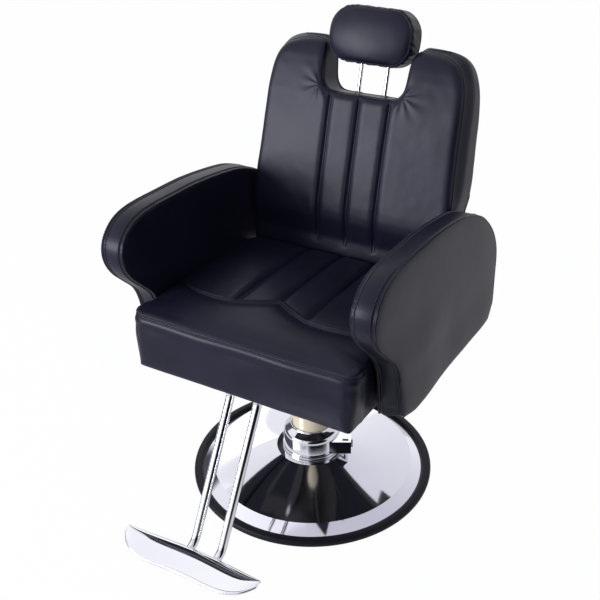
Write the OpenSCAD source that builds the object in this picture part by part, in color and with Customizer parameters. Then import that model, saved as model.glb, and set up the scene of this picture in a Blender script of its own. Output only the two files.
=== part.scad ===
// Hydraulic barber chair: an upholstered reclining seat on a foot-pumped lift and a weighted round base.
// Millimetres. +Z is up, the sitter faces -Y, and the origin is on the floor at the middle of the base.
// Left and right are the sitter's own, so left is +X and right is -X.

/* [Base] */
// Diameter over the rubber trim
base_d = 584; // [540:4:640]
// Width of the rubber trim, seen from above
trim_w = 22; // [20:1:26]
// Height of the rubber trim
trim_h = 18; // [17:0.5:22]
// Diameter of the crease between the sloping rim and the cone
crease_d = 486; // [440:2:500]
// Height of the crease
crease_z = 29.5; // [26:0.5:34]
// Diameter of the flat top of the neck
neck_d = 172; // [164:1:180]
// Height of the flat top of the neck
neck_z = 66; // [58:1:80]
// Thickness of the chromed dish
dish_t = 3; // [2:0.5:4]
// Thickness of the steel floor plate under the dish
ballast_t = 12; // [8:1:12]

/* [Pump] */
// Outer diameter of the pump cylinder
pump_d = 94; // [90:1:96]
// Bore of the pump cylinder
pump_bore_d = 60; // [54:1:64]
// Height of the cylinder's top above the floor
pump_top_z = 300; // [285:1:305]
// Diameter of the pump's foot flange
pump_foot_d = 150; // [144:1:156]
// Thickness of the foot flange
pump_foot_t = 8; // [6:1:12]
// Diameter of the chrome ring that clamps the dish
collar_d = 143; // [140:1:154]
// Height of the ring
collar_h = 8; // [6:1:10]
// Diameter of the chrome cover's upright wall
cover_d = 138; // [136:1:140]
// Diameter of the cover's rim, where its shoulder meets the pump
cover_rim_d = 101; // [101:1:108]
// Height of the cover
cover_h = 60; // [56:1:70]
// Height of the cover's shoulder
cover_shoulder_h = 18; // [12:1:24]
// Sheet thickness of the cover
cover_t = 3; // [2:0.5:3]
// Diameter of the chromed lift rod
rod_d = 44; // [36:1:46]
// Lift stroke
stroke = 150; // [100:5:160]

/* [Pump pedal] */
// Length of the pedal lever from its pin to its pad
pedal_len = 322; // [280:2:360]
// Width of the lever bar
pedal_bar_w = 14; // [10:1:18]
// Depth of the lever bar
pedal_bar_h = 20; // [16:1:24]
// Distance of the lever's middle from the chair's middle
pedal_x = 88; // [86:1:96]
// Height of the pedal pin
pedal_pin_z = 93; // [92:1:104]
// Diameter of the pedal pin
pedal_pin_d = 12; // [8:1:14]
// Turn of the pedal to the left of straight back, degrees
pedal_turn = 28; // [20:1:30]

/* [Seat] */
// Height of the seat's underside on the lift axis
seat_z = 376; // [372:1:380]
// Backward tilt of the whole seat, degrees
seat_tilt = 3.15; // [1:0.05:5]
// Width of the seat cushion
seat_w = 515; // [480:1:540]
// Distance from the lift axis to the front of the seat
seat_front = 303; // [290:1:320]
// Distance from the lift axis to the back end of the cushion
seat_rear = 151; // [140:1:152]
// Height of the front face, up to the piped edge
seat_face_h = 124; // [110:1:130]
// Height of the cushion's crown
seat_h = 158; // [148:1:164]
// Radius of the front corners
seat_corner_r = 26; // [22:1:50]
// How far the front block swells past the arms' inner faces
seat_ear = 10; // [0:1:12]
// Thickness of the cushion's skirt around the board
skirt_t = 9.5; // [8:0.5:12]
// Thickness of the plywood seat board
board_t = 15; // [12:1:18]
// Height of the frame rails
rail_h = 20; // [18:1:24]
// Width of the frame rails
rail_w = 25; // [20:1:30]

/* [Arms] */
// Thickness of an arm
arm_t = 60; // [50:1:70]
// Height of the armrest's top over the seat's underside
arm_top = 341; // [310:1:360]
// Distance the arm hangs below the seat's underside
arm_drop = 13; // [5:1:20]
// Distance from the lift axis to the arm's front
arm_front = 323; // [300:1:335]
// Distance from the lift axis to the arm's rear
arm_rear = 334; // [320:1:345]
// Thickness of the plywood inside an arm
arm_board_t = 18; // [12:1:24]

/* [Backrest] */
// Backward rake of the backrest against the seat at rest, degrees
back_rake = 12.3; // [8:0.1:16]
// Width of the backrest at its foot
back_w = 500; // [460:1:506]
// Width of the backrest at its shoulders
back_top_w = 478; // [440:1:500]
// Height of the backrest over its own datum
back_h = 474; // [440:1:520]
// Thickness of the backrest at its foot
back_t = 113; // [106:1:125]
// Thickness of the backrest at its top
back_top_t = 84; // [82:1:100]
// Width of the headrest notch
notch_w = 210; // [204:1:240]
// Height of the notch's floor over the backrest's datum
notch_z = 362; // [345:1:380]
// Full recline from rest, degrees
recline = 35; // [20:1:35]

/* [Headrest] */
// Width of the headrest
head_w = 194; // [160:1:196]
// Height of the headrest
head_h = 131; // [110:1:150]
// Thickness of the headrest
head_t = 86; // [80:1:95]
// Gap between the headrest and the notch's floor at rest
head_rise = 66; // [60:1:90]
// Spacing of the two posts
post_gap = 66; // [50:1:80]
// Diameter of a post
post_d = 9; // [8:0.5:12]

/* [Footrest] */
// Diameter of the footrest tubes
tube_d = 19; // [16:0.5:20]
// Wall of the footrest tubes
tube_t = 1.5; // [1:0.5:2.5]
// Spacing of the footrest tubes
tube_gap = 67; // [60:1:90]
// Drop of the foot plate below the seat
foot_drop = 307; // [270:1:307]
// Width of the foot plate
foot_w = 326; // [280:2:360]
// Depth of the foot plate
foot_l = 71; // [60:1:80]

/* [Hidden] */

$fn = 72;
// Clearance between parts that are put together and stay
fit = 0.2;
// Radial running clearance of pins and rods in their bores
run = 0.06;
// Clearance around soft parts
soft = 0.5;
// A cut runs this far past the face that it opens
past = 1;

// Base: the rim slopes down into a groove in the trim
trim_r = base_d / 2;
trim_in_r = trim_r - trim_w;
rim_r = trim_r - 16;
rim_z = 9;
crease_r = crease_d / 2;
neck_r = neck_d / 2;
ballast_r = trim_in_r - 8;
pump_r = pump_d / 2;
foot_bolt_r = 64;
foot_bolt_d = 10;
hex_d = 18;
pump_foot_z = ballast_t;
bore_r = pump_bore_d / 2;
rod_r = rod_d / 2;
gland_t = 8;
gland_in = 16;
piston_z = 44;
piston_h = 16;
rod_stud_r = 10;
collar_z = neck_z;
cover_z = collar_z + collar_h;
cover_r = cover_d / 2;
cover_rim_r = cover_rim_d / 2;
cover_top = cover_z + cover_h;
cover_shoulder_z = cover_top - cover_shoulder_h;

// The lift rod ends in a spindle that the seat hub turns on
spindle_r = 17;
shoulder_z = pump_top_z + gland_t + 4.7;
washer_t = 3;
hub_z = shoulder_z + washer_t + fit;
hub_r = 30;
hub_plate_w = 180;
hub_plate_t = 6;
hub_bolt_gap = 140;
spot_r = 25;
spot_z = seat_z - 5;
m8_r = 4;
m8_hole_r = m8_r + 0.3;
head_r = 6.5;
nut_h = 6;

// Pedal
pedal_pin_y = 8;
pedal_pin_r = pedal_pin_d / 2;
cheek_t = 6;
cheek_gap = 0.4;
pedal_rise = 5;
pad_w = 110;
pad_l = 46;
pad_t = 12;

// Seat stack, from its underside up
rail_x = 195;
board_z = rail_h;
cavity_x = seat_w / 2 - skirt_t;
cavity_front = seat_front - 1.5 - skirt_t;
cavity_top = board_z + board_t + 0.3;
arm_in = seat_w / 2 + soft;
arm_mid = arm_in + (arm_t - arm_board_t) / 2;
arm_bolt_y = [-150, -30, 40];
arm_bolt_z = rail_h / 2;

// Recline hinge
pivot_y = 205;
pivot_z = 60;
// Room for the hinge plates in front of the pivot
hinge_bay = 90;
pin_r = 7;
plate_t = 6;
plate_gap = 0.5;
lower_x = rail_x + rail_w / 2;
upper_x = lower_x + plate_t + plate_gap;
quad_x = upper_x + plate_t;
boss_r = 22;
// The clamp shaft's distance and direction from the pivot
shaft_reach = 52;
shaft_a = 215;
shaft_r = 6;
shaft_y = pivot_y + shaft_reach * cos(shaft_a);
shaft_z = pivot_z + shaft_reach * sin(shaft_a);

// Backrest, in its own tilted frame: Y runs to the rear from its front plane and Z along it
back_y = 127.3;
back_z = 161.3;
back_foot = -35;
pad_front_t = 76;
back_board_t = 9;
board_top = 404;
board_foot = -12;
back_inset = 26;
cover_panel_t = 3;
post_y = 68;
post_x = post_gap / 2;
post_r = post_d / 2;
sleeve_r = post_r + 2.5;
sleeve_len = 100;
post_down = 132;
post_up = 92;
core_t = 18;
core_w = 120;
// Foam under and over the core
core_foam = [14, 18];
head_corner = 44;
head_z = notch_z + head_rise;
head_front = -2;

// Footrest
tube_r = tube_d / 2;
tube_x = tube_gap / 2;
tube_y = -278;
tube_slope = 27.5;
tube_top_bend = 45;
tube_foot_bend = 40;
foot_y = -457;
foot_t = 4;
foot_rise = 3;
foot_lip = 5;
foot_crown = 15;
foot_curl = 17;
foot_sweep = 21;
foot_bulge = 5;
tube_back = 25;

// ---------- Shapes ----------

// Points of an arc around c from angle a to angle b
function arc(c, r, a, b, n = 8) = [for (i = [0:n]) let (t = a + (b - a) * i / n) c + r * [cos(t), sin(t)]];

// Points of a quadratic curve from a to b, pulled towards m
function bend(a, m, b, n = 8) =
    [for (i = [0:n]) let (t = i / n) a * pow(1 - t, 2) + m * 2 * t * (1 - t) + b * pow(t, 2)];

// A closed outline through corners P, each rounded with the radius of the same index in R
function rounded(P, R, n = 6) = let (k = len(P)) [for (i = [0:k - 1]) let (
        p = P[i], a = P[(i + k - 1) % k] - p, b = P[(i + 1) % k] - p,
        ua = a / norm(a), ub = b / norm(b),
        half = acos(ua * ub) / 2, cut = R[i] / tan(half),
        p0 = p + ua * cut, p1 = p + ub * cut)
    each R[i] == 0 ? [p] : bend(p0, p, p1, n)];

// A smooth open curve through points P, with n steps between neighbours
function smooth_path(P, n = 5) = let (k = len(P)) concat([for (i = [0:k - 2], j = [0:n - 1]) let (
        a = P[max(i - 1, 0)], b = P[i], c = P[i + 1], d = P[min(i + 2, k - 1)], t = j / n)
    0.5 * (2 * b + (c - a) * t + (2 * a - 5 * b + 4 * c - d) * pow(t, 2)
        + (3 * b - a - 3 * c + d) * pow(t, 3))], [P[k - 1]]);

// A rectangle over the X range x0..x1 and the Y range y0..y1, with corner radius r
function rect(x0, x1, y0, y1, r = 0) = rounded([[x0, y0], [x1, y0], [x1, y1], [x0, y1]], [r, r, r, r]);

// A box between two corners
module block(a, b) translate(a) cube(b - a);

// A cylinder along X from x0 to x1, through (y, z)
module x_rod(x0, x1, y, z, r)
    translate([min(x0, x1), y, z]) rotate([0, 90, 0]) cylinder(r = r, h = abs(x1 - x0));

// A cylinder along Y from y0 to y1, through (x, z)
module y_rod(y0, y1, x, z, r) translate([x, y0, z]) rotate([-90, 0, 0]) cylinder(r = r, h = y1 - y0);

// A cylinder along Z from z0 to z1
module z_rod(z0, z1, r, x = 0, y = 0) translate([x, y, z0]) cylinder(r = r, h = z1 - z0);

// A plate in the YZ plane from outline P, between x0 and x1
module yz_plate(P, x0, x1) translate([min(x0, x1), 0, 0])
    rotate([90, 0, 90]) linear_extrude(abs(x1 - x0)) polygon(P);

// A plate in the XZ plane from outline P, between y0 and y1
module xz_plate(P, y0, y1) translate([0, y1, 0]) rotate([90, 0, 0]) linear_extrude(y1 - y0) polygon(P);

// A turned part from the outline P of radius and height
module turned(P) rotate_extrude($fn = 180) polygon(P);

// Places its children in the seat's frame
module in_seat() translate([0, 0, seat_z]) rotate([-seat_tilt, 0, 0]) children();

// Places its children in the backrest's frame
module in_back() in_seat() translate([0, back_y, back_z]) rotate([-back_rake, 0, 0]) children();

// Its children on the left side, then mirrored on the right side
module both_sides() {
    children();
    mirror([1, 0, 0]) children();
}

// ---------- Base ----------

// Height of the dish's upper face on the sloping rim, at radius r
function rim_at(r) = crease_z - (r - crease_r) * (crease_z - rim_z) / (rim_r - crease_r);

// Upper face of the dish, from its rim up the hollow cone to the flat neck
cone_foot = tan(9);
cone_head = tan(20);
cone_mid_r = (crease_z - neck_z + cone_foot * crease_r - cone_head * neck_r) / (cone_foot - cone_head);
cone_mid = [cone_mid_r, crease_z + cone_foot * (crease_r - cone_mid_r)];
dish_top = concat([[rim_r, rim_z]], bend([crease_r, crease_z], cone_mid, [neck_r, neck_z], 12));

module base_dish() color("lightgray")
    turned(concat(dish_top, [[pump_r + fit, neck_z], [pump_r + fit, neck_z - dish_t]],
        [for (i = [len(dish_top) - 1:-1:0]) dish_top[i] - [0, dish_t]]));

module base_trim() color([0.05, 0.05, 0.05]) turned(concat(
    [[ballast_r + fit, 0]], bend([trim_r - 9, 0], [trim_r, 0], [trim_r, trim_h / 2]),
    bend([trim_r, trim_h / 2], [trim_r, trim_h], [trim_r - 9, trim_h]),
    bend([trim_in_r + 8, trim_h], [trim_in_r + 2, trim_h], [trim_in_r, rim_at(trim_in_r) + fit]),
    [[rim_r + fit, rim_z + fit],
        [rim_r + fit, rim_z - dish_t - fit], [ballast_r + fit, rim_at(ballast_r) - dish_t - 2 * fit]]));

module foot_bolt_holes(r) for (a = [45:90:315]) rotate(a) z_rod(-past, pump_top_z, r, foot_bolt_r);

module base_ballast() color("dimgray") difference() {
    z_rod(0, ballast_t, ballast_r);
    foot_bolt_holes(foot_bolt_d / 2 + fit);
}

module pump_foot_bolts() color("silver") for (a = [45:90:315]) rotate(a) {
    z_rod(1, pump_foot_z + pump_foot_t, foot_bolt_d / 2, foot_bolt_r);
    translate([foot_bolt_r, 0, pump_foot_z + pump_foot_t]) cylinder(d = hex_d, h = 7, $fn = 6);
}

// ---------- Pump ----------

module pump_body() color([0.93, 0.9, 0.8]) difference() {
    union() {
        z_rod(pump_foot_z, pump_foot_z + pump_foot_t, pump_foot_d / 2);
        z_rod(pump_foot_z, pump_top_z, pump_r);
    }
    z_rod(pump_foot_z + 12, pump_top_z + past, bore_r);
    foot_bolt_holes(foot_bolt_d / 2 + fit);
}

collar_r = collar_d / 2;
module pump_collar() color("lightgray") turned(concat([[pump_r + fit, collar_z]],
    bend([collar_r - 3, collar_z], [collar_r, collar_z], [collar_r, collar_z + 3]),
    bend([collar_r, cover_z - 3], [collar_r, cover_z], [collar_r - 2, cover_z]),
    [[pump_r + fit, cover_z]]));

// An upright wall under a sloping shoulder, open at the top around the pump
module pump_cover() color("lightgray") turned(concat([[cover_r - cover_t, cover_z], [cover_r, cover_z]],
    bend([cover_r, cover_shoulder_z - 6], [cover_r, cover_shoulder_z], [cover_r - 6, cover_shoulder_z + 5]),
    [[cover_rim_r, cover_top - 1], [cover_rim_r - 1, cover_top], [cover_rim_r - cover_t, cover_top],
        [cover_rim_r - cover_t, cover_top - 4], [cover_r - cover_t - 5, cover_shoulder_z],
        [cover_r - cover_t, cover_shoulder_z - 7]]));

module pump_gland() color("dimgray") turned([[rod_r + run, pump_top_z - gland_in],
    [bore_r - run, pump_top_z - gland_in], [bore_r - run, pump_top_z], [pump_r - 4, pump_top_z],
    [pump_r - 4, pump_top_z + gland_t - 1], [pump_r - 5, pump_top_z + gland_t],
    [rod_r + 6, pump_top_z + gland_t], [rod_r + 6, pump_top_z + gland_t - 5],
    [rod_r + run, pump_top_z + gland_t - 5]]);

module rod_wiper() color([0.08, 0.08, 0.08]) turned([[rod_r + run, pump_top_z + gland_t - 5],
    [rod_r + 6 - run, pump_top_z + gland_t - 5], [rod_r + 6 - run, pump_top_z + gland_t - 0.5],
    [rod_r + 1, pump_top_z + gland_t + 1.5], [rod_r + run, pump_top_z + gland_t + 1.5]]);

// ---------- Pump pedal ----------

// Places its children on the pedal pin: X runs along the pin and Y along the lever
module at_pedal() translate([pedal_x, pedal_pin_y, pedal_pin_z]) rotate([0, 0, pedal_turn]) children();
pump_in_pedal = [-pedal_x * cos(pedal_turn) - pedal_pin_y * sin(pedal_turn),
    pedal_x * sin(pedal_turn) - pedal_pin_y * cos(pedal_turn)];
cheek_x = pedal_bar_w / 2 + cheek_gap;
bracket_y = [-20, 30];
bracket_h = 17;

// Fork for the lever, fitted against the cover's wall
module pedal_bracket() color("lightgray") at_pedal() difference() {
    union() {
        block([-40, bracket_y[0], -bracket_h], [-cheek_x, bracket_y[1], bracket_h]);
        block([-cheek_x - past, bracket_y[0], -bracket_h], [cheek_x + cheek_t, bracket_y[0] + 6, bracket_h]);
        yz_plate(rect(bracket_y[0], bracket_y[1] - 5, -bracket_h, bracket_h, 7), cheek_x, cheek_x + cheek_t);
    }
    translate(pump_in_pedal) z_rod(-bracket_h - past, bracket_h + past, cover_r + 0.15);
    x_rod(-40 - past, cheek_x + cheek_t + past, 0, 0, pedal_pin_r + run);
}

module pedal_pin() color("silver") at_pedal() {
    x_rod(-cheek_x - 9, cheek_x + cheek_t, 0, 0, pedal_pin_r);
    x_rod(cheek_x + cheek_t, cheek_x + cheek_t + 4, 0, 0, pedal_pin_r + 4);
}

// The same, raised to the lever's slope
module on_lever() at_pedal() rotate([pedal_rise, 0, 0]) children();

module pedal_lever() color("lightgray") on_lever() difference() {
    union() {
        x_rod(-pedal_bar_w / 2, pedal_bar_w / 2, 0, 0, pedal_pin_r + 7);
        yz_plate(rounded([[0, -pedal_bar_h / 2], [pedal_len, -pedal_bar_h / 4], [pedal_len, pedal_bar_h / 4],
            [0, pedal_bar_h / 2]], [0, 4, 4, 0]), -pedal_bar_w / 2, pedal_bar_w / 2);
        translate([0, 0, -2]) linear_extrude(4) polygon(rect(-pad_w / 2 + 4, pad_w / 2 - 4,
            pedal_len - pad_l / 2 + 4, pedal_len + pad_l / 2 - 4, 8));
    }
    x_rod(-pedal_bar_w, pedal_bar_w, 0, 0, pedal_pin_r + run);
}

module pedal_pad() color([0.07, 0.07, 0.07]) on_lever() difference() {
    translate([0, 0, -pad_t / 2]) linear_extrude(pad_t)
        polygon(rect(-pad_w / 2, pad_w / 2, pedal_len - pad_l / 2, pedal_len + pad_l / 2, 10));
    translate([0, 0, -2 - fit]) linear_extrude(4 + 2 * fit) polygon(rect(-pad_w / 2 + 4 - fit,
        pad_w / 2 - 4 + fit, pedal_len - pad_l / 2 + 4 - fit, pedal_len + pad_l / 2 - 4 + fit, 8));
    block([-pedal_bar_w / 2 - fit, pedal_len - pad_l, -pedal_bar_h / 2],
        [pedal_bar_w / 2 + fit, pedal_len + fit, pedal_bar_h / 2]);
}

// ---------- Lift rod and swivel ----------

module piston_rod() color("silver") difference() {
    union() {
        z_rod(piston_z, piston_z + piston_h, rod_stud_r);
        z_rod(piston_z + piston_h, shoulder_z, rod_r);
        z_rod(shoulder_z, spot_z + 0.7, spindle_r);
    }
    z_rod(spot_z - 34, spot_z + past, 5 + fit);
}

module piston_head() color("gray") turned([[rod_stud_r + fit, piston_z], [bore_r - run, piston_z],
    [bore_r - run, piston_z + 5], [bore_r - 4, piston_z + 5], [bore_r - 4, piston_z + 11],
    [bore_r - run, piston_z + 11], [bore_r - run, piston_z + piston_h],
    [rod_stud_r + fit, piston_z + piston_h]]);

module piston_seal() color([0.08, 0.08, 0.08]) turned([[bore_r - 4 + run, piston_z + 5 + run],
    [bore_r - run / 2, piston_z + 5 + run], [bore_r - run / 2, piston_z + 11 - run],
    [bore_r - 4 + run, piston_z + 11 - run]]);

module swivel_washer() color("goldenrod") turned([[spindle_r + run, shoulder_z], [hub_r - 2, shoulder_z],
    [hub_r - 2, shoulder_z + washer_t], [spindle_r + run, shoulder_z + washer_t]]);

module hub_bolt() color("silver") {
    z_rod(spot_z - 30, spot_z + 0.7, 5);
    z_rod(spot_z + 0.7, spot_z + 3.7, spot_r - 1);
    translate([0, 0, spot_z + 3.7]) cylinder(d = hex_d, h = 6.5, $fn = 6);
}

module hub_plate_holes(r) for (x = [-1, 1], y = [-1, 1])
    z_rod(-hub_plate_t - past, rail_h + past, r, x * hub_bolt_gap / 2, y * hub_bolt_gap / 2);

module seat_hub() color([0.12, 0.12, 0.12]) difference() {
    union() {
        difference() {
            union() {
                z_rod(hub_z, seat_z + 10, hub_r);
                for (a = [45:90:315]) rotate(a) rotate([90, 0, 0]) translate([0, 0, -3]) linear_extrude(6)
                    polygon([[hub_r - 3, hub_z + 8], [hub_r + 2, hub_z + 8], [hub_plate_w / 2 - 6, seat_z - 4],
                        [hub_plate_w / 2 - 6, seat_z + 10], [hub_r - 3, seat_z + 10]]);
            }
            in_seat() block([-hub_plate_w, -hub_plate_w, 1 - hub_plate_t], [hub_plate_w, hub_plate_w, 40]);
        }
        in_seat() translate([0, 0, -hub_plate_t]) linear_extrude(hub_plate_t)
            polygon(rect(-hub_plate_w / 2, hub_plate_w / 2, -hub_plate_w / 2, hub_plate_w / 2, 12));
    }
    z_rod(hub_z - past, seat_z + 20, spindle_r + run);
    z_rod(spot_z, seat_z + 20, spot_r);
    in_seat() hub_plate_holes(m8_hole_r);
}

module hub_plate_bolts() color("silver") in_seat() for (x = [-1, 1], y = [-1, 1])
    translate([x * hub_bolt_gap / 2, y * hub_bolt_gap / 2, 0]) {
        z_rod(-hub_plate_t, rail_h + nut_h, m8_r);
        z_rod(-hub_plate_t - 5, -hub_plate_t, head_r);
        translate([0, 0, rail_h]) cylinder(r = head_r, h = nut_h, $fn = 6);
    }

// ---------- Seat ----------

front_rail_y = -cavity_front + 42;
rail_end = pivot_y + 23;
cross_rails = [front_rail_y, -hub_bolt_gap / 2, hub_bolt_gap / 2, 150];

// A square tube: the box a..b, hollow along the axis "x" or "y"
module tube_rail(a, b, axis) difference() {
    block(a, b);
    block(a + (axis == "x" ? [-past, 2, 2] : [2, -past, 2]), b - (axis == "x" ? [-past, 2, 2] : [2, -past, 2]));
}

// Holes along X through a side rail and all that is bolted to it
module arm_bolt_holes(r, x0, x1) for (y = arm_bolt_y) x_rod(x0, x1, y, arm_bolt_z, r);
hinge_bolt_y = [104, 128];

module seat_frame() color("dimgray") in_seat() difference() {
    union() {
        both_sides() tube_rail([rail_x - rail_w / 2, front_rail_y - rail_w / 2, 0],
            [rail_x + rail_w / 2, rail_end, rail_h], "y");
        for (y = cross_rails) tube_rail([-rail_x + rail_w / 2, y - rail_w / 2, 0],
            [rail_x - rail_w / 2, y + rail_w / 2, rail_h], "x");
    }
    hub_plate_holes(m8_hole_r);
    both_sides() {
        arm_bolt_holes(m8_hole_r, rail_x - rail_w, rail_x + rail_w);
        for (y = hinge_bolt_y) x_rod(rail_x - rail_w, rail_x + rail_w, y, arm_bolt_z, m8_hole_r);
    }
}

// Outline of the seat from above, set in by i all round
function seat_plan(i, rear) = rounded([[-seat_w / 2 + i, -seat_front + i], [seat_w / 2 - i, -seat_front + i],
    [seat_w / 2 - i, rear], [-seat_w / 2 + i, rear]], [seat_corner_r - i, seat_corner_r - i, 0, 0]);

// Outline of the cushion from above: its front block is wider than the part between the arms
ear_y = -seat_front + 51;
ear_x = seat_w / 2 + seat_ear;
cushion_plan = rounded([[-ear_x, -seat_front - 4], [ear_x, -seat_front - 4], [ear_x, ear_y],
    [seat_w / 2, ear_y + seat_ear], [seat_w / 2, seat_rear], [-seat_w / 2, seat_rear],
    [-seat_w / 2, ear_y + seat_ear], [-ear_x, ear_y]], [seat_corner_r, seat_corner_r, 5, 5, 0, 0, 5, 5]);

module seat_board() color("burlywood") in_seat() difference() {
    translate([0, 0, board_z]) linear_extrude(board_t)
        polygon(seat_plan(skirt_t + 1.5 + 2 * fit, seat_rear - 3));
    for (x = [-1, 1], y = [-1, 1]) z_rod(0, 60, head_r + 2, x * hub_bolt_gap / 2, y * hub_bolt_gap / 2);
    both_sides() block([lower_x - 2, pivot_y - hinge_bay, 0], [seat_w, pivot_y, pivot_z]);
}

// Side view of the cushion: upright front face, piped edge, crown and rear
seat_side = concat([[-seat_front + 1.5, 0]],
    bend([-seat_front, 20], [-seat_front - 3, seat_face_h / 2], [-seat_front, seat_face_h - 8]),
    bend([-seat_front + 2, seat_face_h], [-seat_front + 14, seat_h - 10], [-seat_front + 80, seat_h - 4]),
    [[-seat_front + 130, seat_h], [seat_rear - 80, seat_h]],
    bend([seat_rear - 40, seat_h - 3], [seat_rear, seat_h - 5], [seat_rear, seat_h - 32]), [[seat_rear, 0]]);

module seat_cushion() color([0.09, 0.09, 0.13]) in_seat() difference() {
    intersection() {
        yz_plate(seat_side, -seat_w, seat_w);
        translate([0, 0, -past]) linear_extrude(seat_h + 9) polygon(cushion_plan);
    }
    translate([0, 0, -past]) linear_extrude(cavity_top + past)
        polygon(seat_plan(skirt_t + 1.5, seat_rear + past));
    both_sides() {
        block([lower_x - 3, pivot_y - 92, 0], [cavity_x - 10, pivot_y, pivot_z + boss_r + 4]);
        arm_bolt_holes(m8_hole_r + fit, rail_x, seat_w / 2 + past);
    }
}

// ---------- Arms ----------

// Side view of an arm, from its front foot up round the nose, back along the top and down the rear
function arm_side() = let (f = -arm_front, r = arm_rear, t = arm_top, d = -arm_drop)
    [[f + 133, d], [f + 126, 40],
    [f + 119, 80], [f + 109, 115], [f + 91, 146], [f + 59, 176], [f + 26, 207], [f + 7, 235], [f, t - 79],
    [f + 4, t - 54], [f + 17, t - 34], [f + 38, t - 17], [f + 68, t - 6], [f + 110, t - 1], [-140, t],
    [-40, t - 1], [r - 250, t - 13], [r - 190, t - 27], [r - 134, t - 50], [r - 90, t - 78], [r - 49, t - 113],
    [r - 19, t - 153], [r - 4, t - 193], [r, t - 245], [r - 2, 50], [r - 7, 12], [r - 24, d]];

// The same side view drawn in towards its middle by i, for the board inside
function arm_inner(i) = let (c = [(arm_rear - arm_front) / 2, (arm_top - arm_drop) / 2],
        k = [1 - 2 * i / (arm_front + arm_rear), 1 - 2 * i / (arm_top + arm_drop)])
    [for (p = smooth_path(arm_side(), 3)) c + [(p[0] - c[0]) * k[0], (p[1] - c[1]) * k[1]]];

module lever_hole(r) x_rod(-arm_in + past, -arm_in - arm_t - past, shaft_y, shaft_z, r);

module arm_board() color("burlywood") difference() {
    yz_plate(arm_inner(18), arm_mid, arm_mid + arm_board_t);
    arm_bolt_holes(m8_r + fit, arm_mid - past, arm_mid + arm_board_t + past);
}

module arm_pad() color([0.09, 0.09, 0.13]) difference() {
    yz_plate(smooth_path(arm_side()), arm_in, arm_in + arm_t);
    yz_plate(arm_inner(18 - fit), arm_mid - fit, arm_mid + arm_board_t + fit);
    arm_bolt_holes(m8_hole_r + fit, arm_in - past, arm_mid);
}

module arm_board_left() in_seat() arm_board();
module arm_pad_left() in_seat() arm_pad();
module arm_board_right() in_seat() difference() {
    mirror([1, 0, 0]) arm_board();
    lever_hole(shaft_r + 3.4);
}
module arm_pad_right() in_seat() difference() {
    mirror([1, 0, 0]) arm_pad();
    lever_hole(shaft_r + 3.4);
}

module arm_bolts() color("silver") in_seat() both_sides() for (y = arm_bolt_y) {
    x_rod(rail_x - rail_w / 2, arm_mid + arm_board_t - 2, y, arm_bolt_z, m8_r);
    x_rod(rail_x - rail_w / 2 - 5, rail_x - rail_w / 2, y, arm_bolt_z, head_r);
}

module arm_spacers() color("gray") in_seat() both_sides() for (y = arm_bolt_y) difference() {
    x_rod(lower_x, cavity_x - 1.5 - fit, y, arm_bolt_z, 8);
    x_rod(lower_x - past, cavity_x + past, y, arm_bolt_z, m8_hole_r);
}

// ---------- Recline hinge ----------

module hinge_plate() color("dimgray") difference() {
    union() {
        yz_plate(rounded([[94, 1], [rail_end, 1], [pivot_y + boss_r, pivot_z], [pivot_y - boss_r, pivot_z],
            [152, rail_h + 16], [150, rail_h - 1], [94, rail_h - 1]], [3, 6, 0, 0, 4, 6, 3]),
            lower_x, lower_x + plate_t);
        x_rod(lower_x, lower_x + plate_t, pivot_y, pivot_z, boss_r);
    }
    x_rod(lower_x - past, lower_x + plate_t + past, pivot_y, pivot_z, pin_r + run);
    for (y = hinge_bolt_y) x_rod(lower_x - past, lower_x + plate_t + past, y, arm_bolt_z, m8_hole_r);
}

module hinge_plate_left() in_seat() hinge_plate();
module hinge_plate_right() in_seat() difference() {
    mirror([1, 0, 0]) hinge_plate();
    x_rod(-lower_x + past, -lower_x - plate_t - past, shaft_y, shaft_z, shaft_r + run);
}

module hinge_bolts() color("silver") in_seat() both_sides() for (y = hinge_bolt_y) {
    x_rod(rail_x - rail_w / 2, lower_x + plate_t + nut_h, y, arm_bolt_z, m8_r);
    x_rod(rail_x - rail_w / 2 - 5, rail_x - rail_w / 2, y, arm_bolt_z, head_r);
    x_rod(lower_x + plate_t, lower_x + plate_t + nut_h, y, arm_bolt_z, head_r);
}

// Shoulder pin through both plates of one side; the right one also carries the quadrant
module recline_pin(outer) color("silver") {
    x_rod(lower_x - 5, outer + 2, pivot_y, pivot_z, pin_r);
    x_rod(lower_x - 5 - 4, lower_x - 5 + 5, pivot_y, pivot_z, pin_r + 5);
    x_rod(outer + 0.3, outer + 5, pivot_y, pivot_z, pin_r + 5);
}
module recline_pin_left() in_seat() recline_pin(upper_x + plate_t);
module recline_pin_right() in_seat() mirror([1, 0, 0]) recline_pin(quad_x + plate_t);

// Bracket in the backrest's frame: a flange screwed to the board's rear and a web down to the pivot
board_rear = pad_front_t + back_board_t;
web_back = board_rear + 11;
function in_back_frame(y, z) = let (dy = y - back_y, dz = z - back_z)
    [dy * cos(back_rake) - dz * sin(back_rake), dy * sin(back_rake) + dz * cos(back_rake)];
pivot_b = in_back_frame(pivot_y, pivot_z);
flange_w = 34;
bracket_top = 150;
screw_z = [20, 70, 130];

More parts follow.
